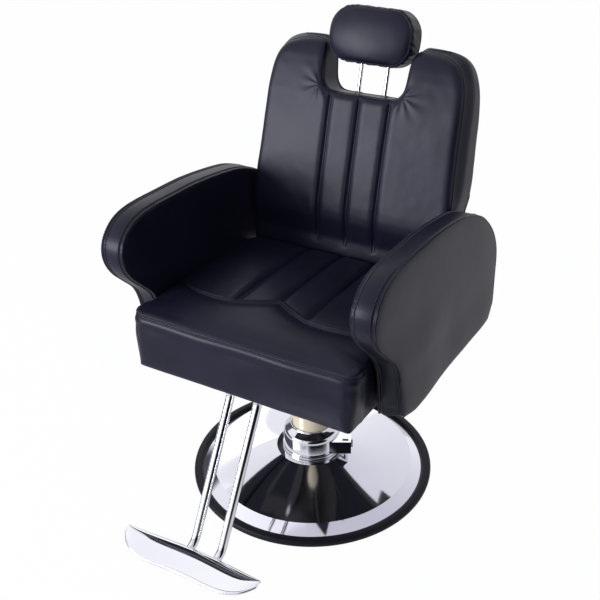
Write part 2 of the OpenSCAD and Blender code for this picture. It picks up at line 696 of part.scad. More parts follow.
module back_bracket() color("dimgray") difference() {
    union() {
        yz_plate([[board_rear, bracket_top], [web_back, bracket_top - 10], [web_back, -10],
            pivot_b + [boss_r, 0], pivot_b + [-boss_r, 0], [pad_front_t + fit, board_foot - 1],
            [board_rear, board_foot - 1]],
            upper_x, upper_x + plate_t);
        x_rod(upper_x, upper_x + plate_t, pivot_b[0], pivot_b[1], boss_r);
        block([upper_x - flange_w, board_rear, -10], [upper_x + past, board_rear + 4, bracket_top]);
    }
    x_rod(upper_x - past, quad_x + past, pivot_b[0], pivot_b[1], pin_r + run);
    for (z = screw_z) y_rod(board_rear - past, board_rear + 9, upper_x - flange_w / 2, z, 3 + fit);
}
module back_bracket_left() in_back() back_bracket();
module back_bracket_right() in_back() mirror([1, 0, 0]) back_bracket();

// Sector on the right bracket: the clamp pinches its curved edge, which stays at the shaft as the back reclines
sector_r = shaft_reach - shaft_r - 0.8;
module recline_quadrant() color("gray") in_seat() difference() {
    translate([0, pivot_y, pivot_z]) yz_plate(concat(arc([0, 0], boss_r, shaft_a - 100, shaft_a - 200, 10),
        arc([0, 0], sector_r, shaft_a + recline + 14, shaft_a - 14, 16)), -quad_x, -quad_x - plate_t);
    x_rod(-quad_x + past, -quad_x - plate_t - past, pivot_y, pivot_z, pin_r + run);
}

// ---------- Backrest ----------

function back_half(z) = back_w / 2 + (back_top_w - back_w) / 2 * z / back_h;

// Front view of the backrest with its headrest notch, set in by i all round
function back_front(i = 0, foot = back_foot) = let (h = back_h - i, n = notch_w / 2 + i, nz = notch_z - i)
    rounded([[-back_half(foot) + i, foot], [back_half(foot) - i, foot], [back_half(h) - i, h], [n, h],
        [n - 3, nz],
        [-n + 3, nz], [-n, h], [-back_half(h) + i, h]], [8, 8, max(72 - i, 8), 10, 26, 26, 10, max(72 - i, 8)]);

function back_rear_at(z) = back_t + (back_top_t - back_t) * (z - back_foot) / (back_h - back_foot);

// Side view: a rounded foot, a lumbar swell, an upright front and a rear that tapers to the top
back_side = concat(bend([70, back_foot], [38, back_foot + 2], [30, -8]), bend([26, 12], [14, 44], [5, 74]),
    [[0, 110], [0, 320]], bend([3, back_h - 44], [5, back_h], [24, back_h]),
    bend([back_top_t - 22, back_h], [back_top_t, back_h], [back_rear_at(back_h - 22), back_h - 22]),
    bend([back_rear_at(6), 6], [back_t, back_foot], [back_t - 26, back_foot]));

// How deep the hollows for the posts reach below the notch, at their lowest setting
post_reach = post_down + 60;

// Space behind the front foam: the board, the brackets and the rear cover
module back_pocket(i) xz_plate(back_front(i, back_foot - past), pad_front_t - fit, back_t + 9);

module back_board() color("burlywood") in_back() difference() {
    intersection() {
        xz_plate(back_front(back_inset + fit, board_foot), pad_front_t, board_rear);
        block([-back_w, 0, -back_w], [back_w, back_t, board_top]);
    }
    both_sides() for (z = screw_z) y_rod(0, 200, upper_x - flange_w / 2, z, 3 + fit);
    for (x = [-1, 1], z = [-1, 1]) y_rod(0, 200, x * block_screw[0], block_mid + z * block_screw[1], 2.5 + fit);
}

module back_cushion() color([0.09, 0.09, 0.13]) in_back() difference() {
    intersection() {
        xz_plate(back_front(), -9, back_t + 9);
        yz_plate(back_side, -back_w, back_w);
    }
    back_pocket(back_inset);
    block([-post_block_w / 2 - soft, post_y - 10 - soft, block_z[0] - soft],
        [post_block_w / 2 + soft, pad_front_t + past, block_z[1] + soft]);
    for (x = [-post_x, post_x]) {
        z_rod(notch_z - sleeve_len - past, notch_z + past, sleeve_r + fit, x, post_y);
        z_rod(notch_z - post_reach, notch_z, post_r + 1.5, x, post_y);
    }
}

module back_cover() color([0.08, 0.08, 0.1]) in_back() intersection() {
    xz_plate(back_front(back_inset + fit, back_foot + 4), 0, back_t + 9);
    yz_plate([for (s = [[0, back_foot], [0, back_h], [-cover_panel_t, back_h], [-cover_panel_t, back_foot]])
        [back_rear_at(s[1]) + s[0], s[1]]], -back_w, back_w);
}

module bracket_screws() color("silver") in_back() both_sides() for (z = screw_z) {
    y_rod(pad_front_t + 0.5, board_rear + 4, upper_x - flange_w / 2, z, 3);
    y_rod(board_rear + 4, board_rear + 7, upper_x - flange_w / 2, z, 5.5);
}

// ---------- Headrest ----------

post_block_w = 104;
block_h = 70;
block_gap = 16;
block_z = [notch_z - block_gap - block_h, notch_z - block_gap];
block_screw = [20, 18];
block_mid = (block_z[0] + block_z[1]) / 2;

module post_block() color([0.15, 0.15, 0.15]) in_back() {
    difference() {
        block([-post_block_w / 2, post_y - 10, block_z[0]], [post_block_w / 2, pad_front_t, block_z[1]]);
        for (x = [-post_x, post_x]) z_rod(0, notch_z, sleeve_r + run, x, post_y);
    }
    for (x = [-1, 1], z = [-1, 1]) {
        y_rod(pad_front_t - past, board_rear, x * block_screw[0], block_mid + z * block_screw[1], 2.5);
        y_rod(board_rear, board_rear + 3, x * block_screw[0], block_mid + z * block_screw[1], 5);
    }
}

module post_sleeve(x) color("lightgray") in_back() difference() {
    union() {
        z_rod(notch_z - sleeve_len, notch_z, sleeve_r, x, post_y);
        z_rod(notch_z + fit, notch_z + 3, sleeve_r + 2.5, x, post_y);
        z_rod(notch_z - past, notch_z + past, sleeve_r, x, post_y);
    }
    z_rod(notch_z - sleeve_len - past, notch_z + 5, post_r + run, x, post_y);
}
module post_sleeve_left() post_sleeve(post_x);
module post_sleeve_right() post_sleeve(-post_x);

module headrest_post(x) color("silver") in_back()
    z_rod(notch_z - post_down, head_z + post_up, post_r, x, post_y);
module headrest_post_left() headrest_post(post_x);
module headrest_post_right() headrest_post(-post_x);

module headrest_core() color("burlywood") in_back() difference() {
    block([-core_w / 2, post_y - core_t / 2, head_z + core_foam[0]],
        [core_w / 2, post_y + core_t / 2, head_z + head_h - core_foam[1]]);
    for (x = [-post_x, post_x]) z_rod(head_z, head_z + post_up + fit, post_r + fit, x, post_y);
}

module headrest_pad() color([0.09, 0.09, 0.13]) in_back() difference() {
    intersection() {
        xz_plate(rect(-head_w / 2, head_w / 2, head_z, head_z + head_h, head_corner), head_front - 9,
            head_front + head_t + 9);
        yz_plate(rect(head_front, head_front + head_t, head_z, head_z + head_h, 26), -head_w, head_w);
        translate([0, 0, head_z - past]) linear_extrude(head_h + 9)
            polygon(rect(-head_w / 2, head_w / 2, head_front, head_front + head_t, 22));
    }
    block([-core_w / 2 - fit, post_y - core_t / 2 - fit, head_z + core_foam[0] - fit],
        [core_w / 2 + fit, post_y + core_t / 2 + fit, head_z + head_h - core_foam[1] + fit]);
    for (x = [-post_x, post_x]) z_rod(head_z - past, head_z + 20, post_r + 0.5, x, post_y);
}

// ---------- Recline clamp ----------

clamp_x = quad_x + plate_t + fit;
lever_x = arm_in + arm_t + 8;
lever_t = 5;
lever_len = 92;
grip_len = 118;
grip_t = 12;
lever_rise = 14;

module clamp_ring(x0, x1, r) color("gray") in_seat() difference() {
    x_rod(-x0, -x1, shaft_y, shaft_z, r);
    x_rod(-x0 + past, -x1 - past, shaft_y, shaft_z, shaft_r + run);
}
jaw_r = 15;
module clamp_spacer() clamp_ring(lower_x + plate_t, quad_x - fit, jaw_r);
module clamp_washer() clamp_ring(clamp_x, clamp_x + 2.5, jaw_r);

// Places its children on the clamp shaft, with the lever lying along -Y
module on_clamp() translate([0, shaft_y, shaft_z]) rotate([-lever_rise, 0, 0]) children();

// Side view of the lever, grown by g
function lever_outline(g) = concat(arc([0, 0], 13 + g, -90, 90, 12),
    [[-lever_len - g, 7 + g], [-lever_len - g, -7 - g]]);

// The shaft turns in the hinge plate and the arm, with a flat lever at its outer end
module clamp_lever() color("silver") in_seat() {
    x_rod(-lower_x + 10, -lever_x - lever_t, shaft_y, shaft_z, shaft_r);
    x_rod(-lower_x + 10, -lower_x + 0.3, shaft_y, shaft_z, shaft_r + 3);
    x_rod(-clamp_x - 2.5 - fit, -arm_in + 2.5, shaft_y, shaft_z, shaft_r + 3);
    on_clamp() yz_plate(lever_outline(0), -lever_x, -lever_x - lever_t);
}

module lever_grip() color([0.05, 0.05, 0.05]) in_seat() on_clamp() difference() {
    yz_plate(concat([[-58, -9], [-58, 9]], bend([-64, 12], [-90, 14], [-grip_len + 12, 12]),
        arc([-grip_len + 12, 0], 12, 90, 270, 10), bend([-grip_len + 12, -12], [-90, -14], [-64, -12])),
        -lever_x - (lever_t - grip_t) / 2, -lever_x - (lever_t + grip_t) / 2);
    yz_plate(lever_outline(fit), -lever_x + fit, -lever_x - lever_t - fit);
}

module lever_bushing() color([0.06, 0.06, 0.06]) in_seat() difference() {
    union() {
        x_rod(-arm_in - 1, -arm_in - arm_t - past, shaft_y, shaft_z, shaft_r + 3.2);
        x_rod(-arm_in - arm_t - fit, -arm_in - arm_t - 3, shaft_y, shaft_z, shaft_r + 8);
    }
    x_rod(-arm_in + past, -arm_in - arm_t - 9, shaft_y, shaft_z, shaft_r + run);
}

// ---------- Footrest ----------

// The tube's centre line in the YZ plane: down, forward along the slope, then level under the plate
bend_c = [tube_y - tube_top_bend, -2];
bend_end = bend_c + tube_top_bend * [cos(tube_slope), -sin(tube_slope)];
slope_end_z = -foot_drop + tube_foot_bend * (1 - sin(tube_slope));
slope_end = [bend_end[0] - (bend_end[1] - slope_end_z) * tan(tube_slope), slope_end_z];
tube_tip = foot_y - foot_l + tube_back;
tube_path = concat([[tube_y, rail_h - 1]], arc(bend_c, tube_top_bend, 0, -tube_slope, 6),
    arc(slope_end + tube_foot_bend * [-cos(tube_slope), sin(tube_slope)], tube_foot_bend, -tube_slope, -90, 10),
    [[tube_tip, -foot_drop]]);
tube_sides = 24;

// A hollow round tube of outer radius r and wall w along P in the YZ plane, as one closed mesh
function unit(v) = v / norm(v);
module swept_tube(P, r, w, n) {
    k = len(P);
    points = [for (q = [r, r - w], i = [0:k - 1], j = [0:n - 1]) let (
            t = unit(i == 0 ? P[1] - P[0] : i == k - 1 ? P[i] - P[i - 1]
                : unit(P[i] - P[i - 1]) + unit(P[i + 1] - P[i])),
            a = 360 * j / n)
        [q * cos(a), P[i][0] - t[1] * q * sin(a), P[i][1] + t[0] * q * sin(a)]];
    function at(side, i, j) = (side * k + i) * n + j % n;
    walls = [for (i = [0:k - 2], j = [0:n - 1]) each [
        [at(0, i, j), at(0, i, j + 1), at(0, i + 1, j + 1)],
        [at(0, i, j), at(0, i + 1, j + 1), at(0, i + 1, j)],
        [at(1, i, j), at(1, i + 1, j + 1), at(1, i, j + 1)],
        [at(1, i, j), at(1, i + 1, j), at(1, i + 1, j + 1)]]];
    ends = [for (j = [0:n - 1]) each [
        [at(0, 0, j), at(1, 0, j + 1), at(0, 0, j + 1)], [at(0, 0, j), at(1, 0, j), at(1, 0, j + 1)],
        [at(0, k - 1, j), at(0, k - 1, j + 1), at(1, k - 1, j + 1)],
        [at(0, k - 1, j), at(1, k - 1, j + 1), at(1, k - 1, j)]]];
    polyhedron(points, concat(walls, ends), convexity = 8);
}

module footrest_tube(x) color("lightgray") in_seat() translate([x, 0, 0])
    swept_tube(tube_path, tube_r, tube_t, tube_sides);
module footrest_tube_left() footrest_tube(tube_x);
module footrest_tube_right() footrest_tube(-tube_x);

module footrest_bracket() color("dimgray") in_seat() difference() {
    union() {
        block([-tube_x - 20, tube_y + 4, 1], [tube_x + 20, front_rail_y - rail_w / 2, rail_h - 1]);
        for (x = [-tube_x, tube_x]) z_rod(1, rail_h - 1, tube_r + 3, x, tube_y);
    }
    for (x = [-tube_x, tube_x]) z_rod(-past, rail_h + past, tube_r + 0.1, x, tube_y);
}

module tube_end_caps() color([0.06, 0.06, 0.06]) in_seat() for (x = [-tube_x, tube_x]) {
    y_rod(tube_tip - 3, tube_tip, x, -foot_drop, tube_r - 1);
    y_rod(tube_tip, tube_tip + 10, x, -foot_drop, tube_r - tube_t - 0.2);
}

// Wing-shaped foot plate over u = -1..1 across and v = 0..1 from its rear edge to its turned-down front lip
foot_base = -foot_drop + tube_r + foot_t + 0.1;
foot_flat = 0.75;
function foot_rear(u) = foot_y - foot_sweep * pow(abs(u), 2.4);
function foot_front(u) = foot_y - foot_l - foot_bulge * pow(sin(180 * min(abs(u) / 1.24, 1)), 2)
    + (foot_l - foot_sweep - 18) * pow(abs(u), 7);
function foot_top(u, t) = foot_base + foot_rise * t
    + foot_crown * sin(180 * pow(t, 0.55)) * (1 - 0.6 * pow(u, 4)) + foot_curl * pow(abs(u), 3.2);
// Outer face (side 0) and inner face (side 1); past foot_flat the plate turns down through a quarter circle
function foot_point(side, u, v) =
    let (t = pow(min(v / foot_flat, 1), 1.6), a = 90 * max(v - foot_flat, 0) / (1 - foot_flat))
    [u * foot_w / 2, foot_rear(u) + (foot_front(u) + foot_lip - foot_rear(u)) * t - foot_lip * sin(a)
        + side * foot_t * sin(a), foot_top(u, t) - foot_lip * (1 - cos(a)) - side * foot_t * cos(a)];
foot_n = 36;
foot_m = 12;
foot_points = [for (side = [0, 1], i = [0:foot_n], j = [0:foot_m])
    foot_point(side, 2 * i / foot_n - 1, j / foot_m)];
function foot_i(side, i, j) = (side * (foot_n + 1) + i) * (foot_m + 1) + j;
foot_faces = concat(
    [for (i = [0:foot_n - 1], j = [0:foot_m - 1]) each [
        [foot_i(0, i, j), foot_i(0, i + 1, j + 1), foot_i(0, i, j + 1)],
        [foot_i(0, i, j), foot_i(0, i + 1, j), foot_i(0, i + 1, j + 1)],
        [foot_i(1, i, j), foot_i(1, i, j + 1), foot_i(1, i + 1, j + 1)],
        [foot_i(1, i, j), foot_i(1, i + 1, j + 1), foot_i(1, i + 1, j)]]],
    [for (i = [0:foot_n - 1]) each [
        [foot_i(0, i, 0), foot_i(1, i, 0), foot_i(1, i + 1, 0)],
        [foot_i(0, i, 0), foot_i(1, i + 1, 0), foot_i(0, i + 1, 0)],
        [foot_i(0, i, foot_m), foot_i(1, i + 1, foot_m), foot_i(1, i, foot_m)],
        [foot_i(0, i, foot_m), foot_i(0, i + 1, foot_m), foot_i(1, i + 1, foot_m)]]],
    [for (j = [0:foot_m - 1]) each [
        [foot_i(0, 0, j), foot_i(1, 0, j + 1), foot_i(1, 0, j)],
        [foot_i(0, 0, j), foot_i(0, 0, j + 1), foot_i(1, 0, j + 1)],
        [foot_i(0, foot_n, j), foot_i(1, foot_n, j), foot_i(1, foot_n, j + 1)],
        [foot_i(0, foot_n, j), foot_i(1, foot_n, j + 1), foot_i(0, foot_n, j + 1)]]]);

// The plate hangs on two lugs that are welded along the tubes' ends, and a bolt goes up into it from each
lug_y = [foot_y - foot_l + 10, foot_y - 8];
lug_u = tube_x / (foot_w / 2);
lug_w = 14;
lug_z = -foot_drop + 4;
foot_bolt_y = lug_y[0] + 5.5;
foot_bolt_grip = 1.6;

// Height under a lug's top at y, set down from the plate's underside by d
function lug_top(y, d) = let (t = (foot_rear(lug_u) - y) / (foot_rear(lug_u) - foot_front(lug_u) - foot_lip))
    foot_top(lug_u, t) - foot_t - d;
foot_bolt_top = lug_top(foot_bolt_y, 0) + foot_bolt_grip;

module foot_plate() color("lightgray") in_seat() difference() {
    polyhedron(foot_points, foot_faces, convexity = 6);
    for (x = [-tube_x, tube_x]) z_rod(lug_z, foot_bolt_top + fit, 3 + fit, x, foot_bolt_y);
}

module foot_lugs() color("dimgray") in_seat() for (x = [-tube_x, tube_x]) difference() {
    translate([x, 0, 0]) yz_plate(concat([[lug_y[1], lug_z], [lug_y[0], lug_z]],
        [for (i = [0:8]) let (y = lug_y[0] + (lug_y[1] - lug_y[0]) * i / 8) [y, lug_top(y, 0.5)]]),
        -lug_w / 2, lug_w / 2);
    y_rod(lug_y[0] - past, lug_y[1] + past, x, -foot_drop, tube_r + 0.02);
    z_rod(lug_z - past, foot_bolt_top, 3 + run, x, foot_bolt_y);
}

module foot_plate_bolts() color("silver") in_seat() for (x = [-tube_x, tube_x]) {
    z_rod(lug_z, foot_bolt_top, 3, x, foot_bolt_y);
    z_rod(lug_z - 4, lug_z, 5, x, foot_bolt_y);
}

base_trim();
base_dish();
base_ballast();
pump_foot_bolts();
pump_body();
pump_collar();
pump_cover();
pump_gland();
rod_wiper();
pedal_bracket();
pedal_pin();
pedal_lever();
pedal_pad();
piston_rod();
piston_head();
piston_seal();
swivel_washer();
hub_bolt();
seat_hub();
hub_plate_bolts();
seat_frame();
seat_board();
seat_cushion();
arm_board_left();
arm_board_right();
arm_pad_left();
arm_pad_right();
arm_bolts();
arm_spacers();
hinge_plate_left();
hinge_plate_right();
hinge_bolts();
recline_pin_left();
recline_pin_right();
back_bracket_left();
back_bracket_right();
recline_quadrant();
bracket_screws();
back_board();
back_cushion();
back_cover();
post_block();
post_sleeve_left();
post_sleeve_right();
headrest_post_left();
headrest_post_right();
headrest_core();
headrest_pad();
clamp_spacer();
clamp_washer();
clamp_lever();
lever_grip();
lever_bushing();
footrest_bracket();
footrest_tube_left();
footrest_tube_right();
tube_end_caps();
foot_lugs();
foot_plate();
foot_plate_bolts();
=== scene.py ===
"""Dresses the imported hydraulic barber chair: upholstery, seams, chrome and the studio around it.

All lengths are in metres.
"""
import math
import bpy
import numpy as np
from mathutils import Matrix, Vector, noise
from mathutils.bvhtree import BVHTree


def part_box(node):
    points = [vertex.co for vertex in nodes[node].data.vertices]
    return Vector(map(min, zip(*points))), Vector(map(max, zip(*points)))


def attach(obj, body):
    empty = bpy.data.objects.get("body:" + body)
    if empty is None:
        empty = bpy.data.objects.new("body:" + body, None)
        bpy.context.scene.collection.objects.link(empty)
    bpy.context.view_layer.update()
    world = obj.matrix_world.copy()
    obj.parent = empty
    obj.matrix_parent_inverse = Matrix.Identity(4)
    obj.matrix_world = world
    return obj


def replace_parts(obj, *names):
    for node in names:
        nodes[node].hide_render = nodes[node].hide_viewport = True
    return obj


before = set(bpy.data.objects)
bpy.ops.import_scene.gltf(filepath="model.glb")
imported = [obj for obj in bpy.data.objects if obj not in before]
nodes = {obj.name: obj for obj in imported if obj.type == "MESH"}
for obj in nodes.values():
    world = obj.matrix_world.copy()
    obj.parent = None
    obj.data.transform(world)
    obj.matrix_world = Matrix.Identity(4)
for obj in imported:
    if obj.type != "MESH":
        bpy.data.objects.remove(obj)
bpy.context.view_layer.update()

# ---------- Sizes that the upholstery shares with the frame ----------

SEAT_Z = 0.376          # underside of the seat on the lift axis
SEAT_TILT = 3.15        # degrees that the whole seat leans back
BACK_Y, BACK_Z = 0.1273, 0.1613   # foot of the backrest's front plane, in the seat's frame
BACK_RAKE = 12.3        # degrees that the backrest leans back against the seat

SEAT = Matrix.Translation((0, 0, SEAT_Z)) @ Matrix.Rotation(-math.radians(SEAT_TILT), 4, "X")
BACK = SEAT @ Matrix.Translation((0, BACK_Y, BACK_Z)) @ Matrix.Rotation(-math.radians(BACK_RAKE), 4, "X")

SEAT_HALF = 0.2575
SEAT_EAR = 0.0105       # how far the front block swells past the arms' inner faces
SEAT_FRONT, SEAT_REAR = -0.303, 0.1545
SEAT_GROOVES = (-0.088, 0.0, 0.088)

ARM_IN, ARM_T = 0.258, 0.060

BACK_GROOVES = (-0.074, 0.0, 0.074)
NOTCH_FLOOR = 0.362
BACK_TOP = 0.474

HEAD_HALF, HEAD_Z, HEAD_H = 0.102, 0.428, 0.129
HEAD_FRONT, HEAD_T = -0.002, 0.086
HEAD_MID = HEAD_Z + HEAD_H / 2
HEAD_SEAMS = (0.020, 0.068)   # depths of the side band's two seams

PIPING = 0.0021
VOXEL = 0.0046
PATH_STEP = 0.004       # between the points of a seam
STITCH, STITCH_GAP, THREAD_R = 0.0038, 0.0022, 0.00045
CLOTH_PRESSURE, CLOTH_FRAMES = 4.0, 20


# ---------- Mesh helpers ----------

def mesh_object(name, verts, faces):
    mesh = bpy.data.meshes.new(name)
    mesh.from_pydata([tuple(map(float, v)) for v in verts], [], [tuple(map(int, f)) for f in faces])
    mesh.update()
    obj = bpy.data.objects.new(name, mesh)
    bpy.context.scene.collection.objects.link(obj)
    return obj


def rows(items, name):
    values = np.empty(len(items) * 3, np.float32)
    items.foreach_get(name, values)
    return values.reshape(-1, 3).astype(float)


def get_co(obj):
    return rows(obj.data.vertices, "co")


def set_co(obj, co):
    obj.data.vertices.foreach_set("co", co.astype(np.float32).ravel())
    obj.data.update()


def get_normals(obj):
    return rows(obj.data.vertex_normals, "vector")


def bake_modifiers(obj):
    """Replaces the mesh by what its modifiers make of it."""
    bpy.context.view_layer.update()
    made = bpy.data.meshes.new_from_object(obj.evaluated_get(bpy.context.evaluated_depsgraph_get()))
    obj.modifiers.clear()
    old, obj.data = obj.data, made
    made.name = obj.name
    bpy.data.meshes.remove(old)


def voxel_remesh(obj, size):
    m = obj.modifiers.new("Remesh", "REMESH")
    m.mode = "VOXEL"
    m.voxel_size = size
    bake_modifiers(obj)


def subdivide(obj):
    m = obj.modifiers.new("Subdivision", "SUBSURF")
    m.levels = m.render_levels = 1
    bake_modifiers(obj)


def shade_smooth(obj):
    obj.data.polygons.foreach_set("use_smooth", [True] * len(obj.data.polygons))
    obj.data.update()


def relax(obj, values, rounds):
    """Averages one row of values per vertex over its neighbours."""
    edges = np.empty(len(obj.data.edges) * 2, np.int32)
    obj.data.edges.foreach_get("vertices", edges)
    a, b = edges.reshape(-1, 2).T
    n = len(values)
    count = np.bincount(a, minlength=n) + np.bincount(b, minlength=n)
    for _ in range(rounds):
        mean = np.empty_like(values)
        for k in range(values.shape[1]):
            mean[:, k] = (np.bincount(a, values[b, k], n) + np.bincount(b, values[a, k], n)) / count
        values = 0.5 * values + 0.5 * mean
    return values


def swell(obj, held, cap):
    """Cloth under pressure: the cover swells between the points that are held.

    No point moves further than cap.
    """
    start = get_co(obj)
    group = obj.vertex_groups.new(name="held")
    group.add([int(i) for i in np.flatnonzero(held)], 1.0, "REPLACE")
    m = obj.modifiers.new("Cloth", "CLOTH")
    m.settings.quality = 4
    m.settings.mass = 0.3
    m.settings.tension_stiffness = 15
    m.settings.compression_stiffness = 15
    m.settings.bending_stiffness = 1
    m.settings.vertex_group_mass = "held"
    m.settings.use_pressure = True
    m.settings.uniform_pressure_force = CLOTH_PRESSURE
    m.settings.effector_weights.gravity = 0
    m.collision_settings.use_collision = False
    m.point_cache.frame_start = 1
    m.point_cache.frame_end = CLOTH_FRAMES
    scene = bpy.context.scene
    for f in range(1, CLOTH_FRAMES + 1):
        scene.frame_set(f)
    bake_modifiers(obj)
    scene.frame_set(1)
    move = get_co(obj) - start
    size = np.linalg.norm(move, axis=1, keepdims=True) + 1e-9
    move *= cap * np.tanh(size / cap) / size
    set_co(obj, start + relax(obj, move, 6))


def closed_prism(outline, lo, hi, place):
    """Verts and faces of the outline drawn out from lo to hi; place(p, q, t) gives the point."""
    n = len(outline)
    verts = [place(p, q, t) for t in (lo, hi) for p, q in outline]
    faces = [tuple(range(n)), tuple(range(2 * n - 1, n - 1, -1))]
    faces += [((i + 1) % n, i, n + i, n + (i + 1) % n) for i in range(n)]
    return verts, faces


def nearest_on(points, path, closed=False):
    """For 2D or 3D points: distance to the path, the nearest segment and the place along it from 0 to 1."""
    path = np.asarray(path, float)
    if closed:
        path = np.vstack([path, path[:1]])
    best = np.full(len(points), np.inf)
    seg = np.zeros(len(points), int)
    part = np.zeros(len(points))
    for i in range(len(path) - 1):
        a, d = path[i], path[i + 1] - path[i]
        t = np.clip(((points - a) @ d) / max(d @ d, 1e-12), 0, 1)
        dist = np.linalg.norm(points - a - t[:, None] * d, axis=1)
        m = dist < best
        best[m], seg[m], part[m] = dist[m], i, t[m]
    return best, seg, part


def smooth_curve(points, steps):
    """Catmull-Rom curve through the points, with so many steps between two of them."""
    p = np.asarray(points, float)
    last = len(p) - 1
    out = []
    for i in range(last):
        a, b, c, d = p[max(i - 1, 0)], p[i], p[i + 1], p[min(i + 2, last)]
        for j in range(steps):
            t = j / steps
            out.append(0.5 * (2 * b + (c - a) * t + (2 * a - 5 * b + 4 * c - d) * t * t
                              + (3 * b - a - 3 * c + d) * t ** 3))
    return np.array(out + [p[-1]])


def arc2(centre, radius, a, b, n=12):
    """Points of an arc from a to b degrees."""
    return [(centre[0] + radius * math.cos(math.radians(t)), centre[1] + radius * math.sin(math.radians(t)))
            for t in np.linspace(a, b, n + 1)]


def lengths_along(p):
    """The length of the path up to each of its points."""
    return np.concatenate([[0], np.cumsum(np.linalg.norm(np.diff(p, axis=0), axis=1))])


def resample(path, step, closed=False):
    """The path again, with points step apart."""
    p = np.asarray(path, float)
    if closed:
        p = np.vstack([p, p[:1]])
    along = lengths_along(p)
    n = max(int(round(along[-1] / step)), 2)
    s = np.linspace(0, along[-1], n + 1)
    out = np.stack([np.interp(s, along, p[:, k]) for k in range(p.shape[1])], axis=1)
    return out[:-1] if closed else out


def round_edges(co, outline, low, high, r_low, r_high):
    """Rounds both rims of a slab to their radii.

    co is (p, q, t): (p, q) lies in the outline, and t between low(p, q) and high(p, q).
    """
    outline = np.asarray(outline, float)
    e, seg, _ = nearest_on(co[:, :2], outline, closed=True)
    d = np.roll(outline, -1, axis=0)[seg] - outline[seg]
    d /= np.linalg.norm(d, axis=1, keepdims=True) + 1e-12
    inward = np.stack([-d[:, 1], d[:, 0]], axis=1)
    lo, hi = low(co[:, 0], co[:, 1]), high(co[:, 0], co[:, 1])
    t = np.clip(co[:, 2], lo, hi)
    shift = np.zeros(len(co))
    for rim, r, sign in ((hi, r_high, 1), (lo, r_low, -1)):
        a = np.clip(r - sign * (rim - t), 0, r)
        b = np.clip(r - e, 0, r)
        h = np.hypot(a, b)
        k = np.where(h > r, r / np.maximum(h, 1e-9), 1)
        t = np.where(h > r, t - sign * (a - a * k), t)
        shift = np.where(h > r, b - b * k, shift)
    out = co.copy()
    out[:, :2] += inward * shift[:, None]
    out[:, 2] = t
    return out


def snap(path, surface, offset):
    """Puts a path on the nearest places of a surface, offset along its normals. Gives points and normals."""
    tree = BVHTree.FromPolygons([v.co for v in surface.data.vertices],
                                [tuple(p.vertices) for p in surface.data.polygons])
    points, normals = [], []
    for p in path:
        hit, normal, _, _ = tree.find_nearest(Vector(p))
        points.append(hit + normal * offset)
        normals.append(normal)
    return np.array(points), np.array(normals)


def even(path, rounds, closed=False):
    """A path with its kinks averaged out; open ends stay."""
    p = np.array(path, float)
    for _ in range(rounds):
        m = (np.roll(p, 1, axis=0) + np.roll(p, -1, axis=0)) / 2
        q = 0.5 * p + 0.5 * m
        if not closed:
            q[0], q[-1] = p[0], p[-1]
        p = q
    return p


def tube(name, path, radius, sides=8, closed=False):
    """A round tube along a path, with its ends closed."""
    p = np.asarray(path, float)
    n = len(p)
    if closed:
        tangent = np.roll(p, -1, axis=0) - np.roll(p, 1, axis=0)
    else:
        tangent = np.gradient(p, axis=0)
    tangent /= np.linalg.norm(tangent, axis=1, keepdims=True) + 1e-12
    side = np.cross(tangent[0], (0.3, 0.5, 0.81))
    side /= np.linalg.norm(side)
    verts = []
    for i in range(n):
        side = side - tangent[i] * (side @ tangent[i])
        side /= np.linalg.norm(side)
        up = np.cross(tangent[i], side)
        for j in range(sides):
            a = 2 * math.pi * j / sides
            verts.append(p[i] + radius * (side * math.cos(a) + up * math.sin(a)))
    faces = []
    for i in range(n if closed else n - 1):
        k = (i + 1) % n
        twist = 0
        if closed and k == 0:
            first = verts[i * sides]
            twist = int(np.argmin([np.linalg.norm(first - verts[j]) for j in range(sides)]))
        for j in range(sides):
            j2 = (j + 1) % sides
            faces.append((i * sides + j, i * sides + j2, k * sides + (j2 + twist) % sides,
                          k * sides + (j + twist) % sides))
    if not closed:
        faces.append(tuple(range(sides - 1, -1, -1)))
        faces.append(tuple(range((n - 1) * sides, n * sides)))
    obj = mesh_object(name, verts, faces)
    shade_smooth(obj)
    return obj


def stitches(name, path, normals):
    """Sewing thread: short raised strands along a path that lies on a surface."""
    p = np.asarray(path, float)
    along = lengths_along(p)
    starts = np.arange(STITCH_GAP, along[-1] - STITCH, STITCH + STITCH_GAP)
    lift = np.array([-0.4, 0.7, 1.1, 0.7, -0.4]) * THREAD_R
    rings, sides = len(lift), 6
    verts, faces = [], []
    for s in starts:
        ts = s + STITCH * np.array([0, 0.2, 0.5, 0.8, 1])
        c = np.stack([np.interp(ts, along, p[:, k]) for k in range(3)], axis=1)
        nrm = np.stack([np.interp(ts, along, normals[:, k]) for k in range(3)], axis=1)
        nrm /= np.linalg.norm(nrm, axis=1, keepdims=True)
        tan = np.gradient(c, axis=0)
        tan /= np.linalg.norm(tan, axis=1, keepdims=True) + 1e-12
        wide = np.cross(tan, nrm)
        c = c + nrm * lift[:, None]
        base = len(verts)
        for i in range(rings):
            for a in range(sides):
                t = 2 * math.pi * a / sides
                verts.append(c[i] + THREAD_R * (wide[i] * math.cos(t) + nrm[i] * math.sin(t)))
        for row in range(base, base + sides * (rings - 1), sides):
            for a in range(sides):
                b = (a + 1) % sides
                faces.append((row + a, row + b, row + sides + b, row + sides + a))
        faces.append(tuple(range(base + sides - 1, base - 1, -1)))
        faces.append(tuple(range(base + sides * (rings - 1), base + sides * rings)))
    obj = mesh_object(name, verts, faces)
    shade_smooth(obj)
    return obj


def wobble(co, scale, size, seed):
    """Smooth random heights, one per point."""
    shift = Vector((seed * 7.3, seed * 3.1, seed * 5.7))
    return size * np.array([noise.noise(Vector(p) * scale + shift) for p in co])


def ease(t):
    """A smooth step from 0 to 1."""
    t = np.clip(t, 0, 1)
    return t * t * (3 - 2 * t)


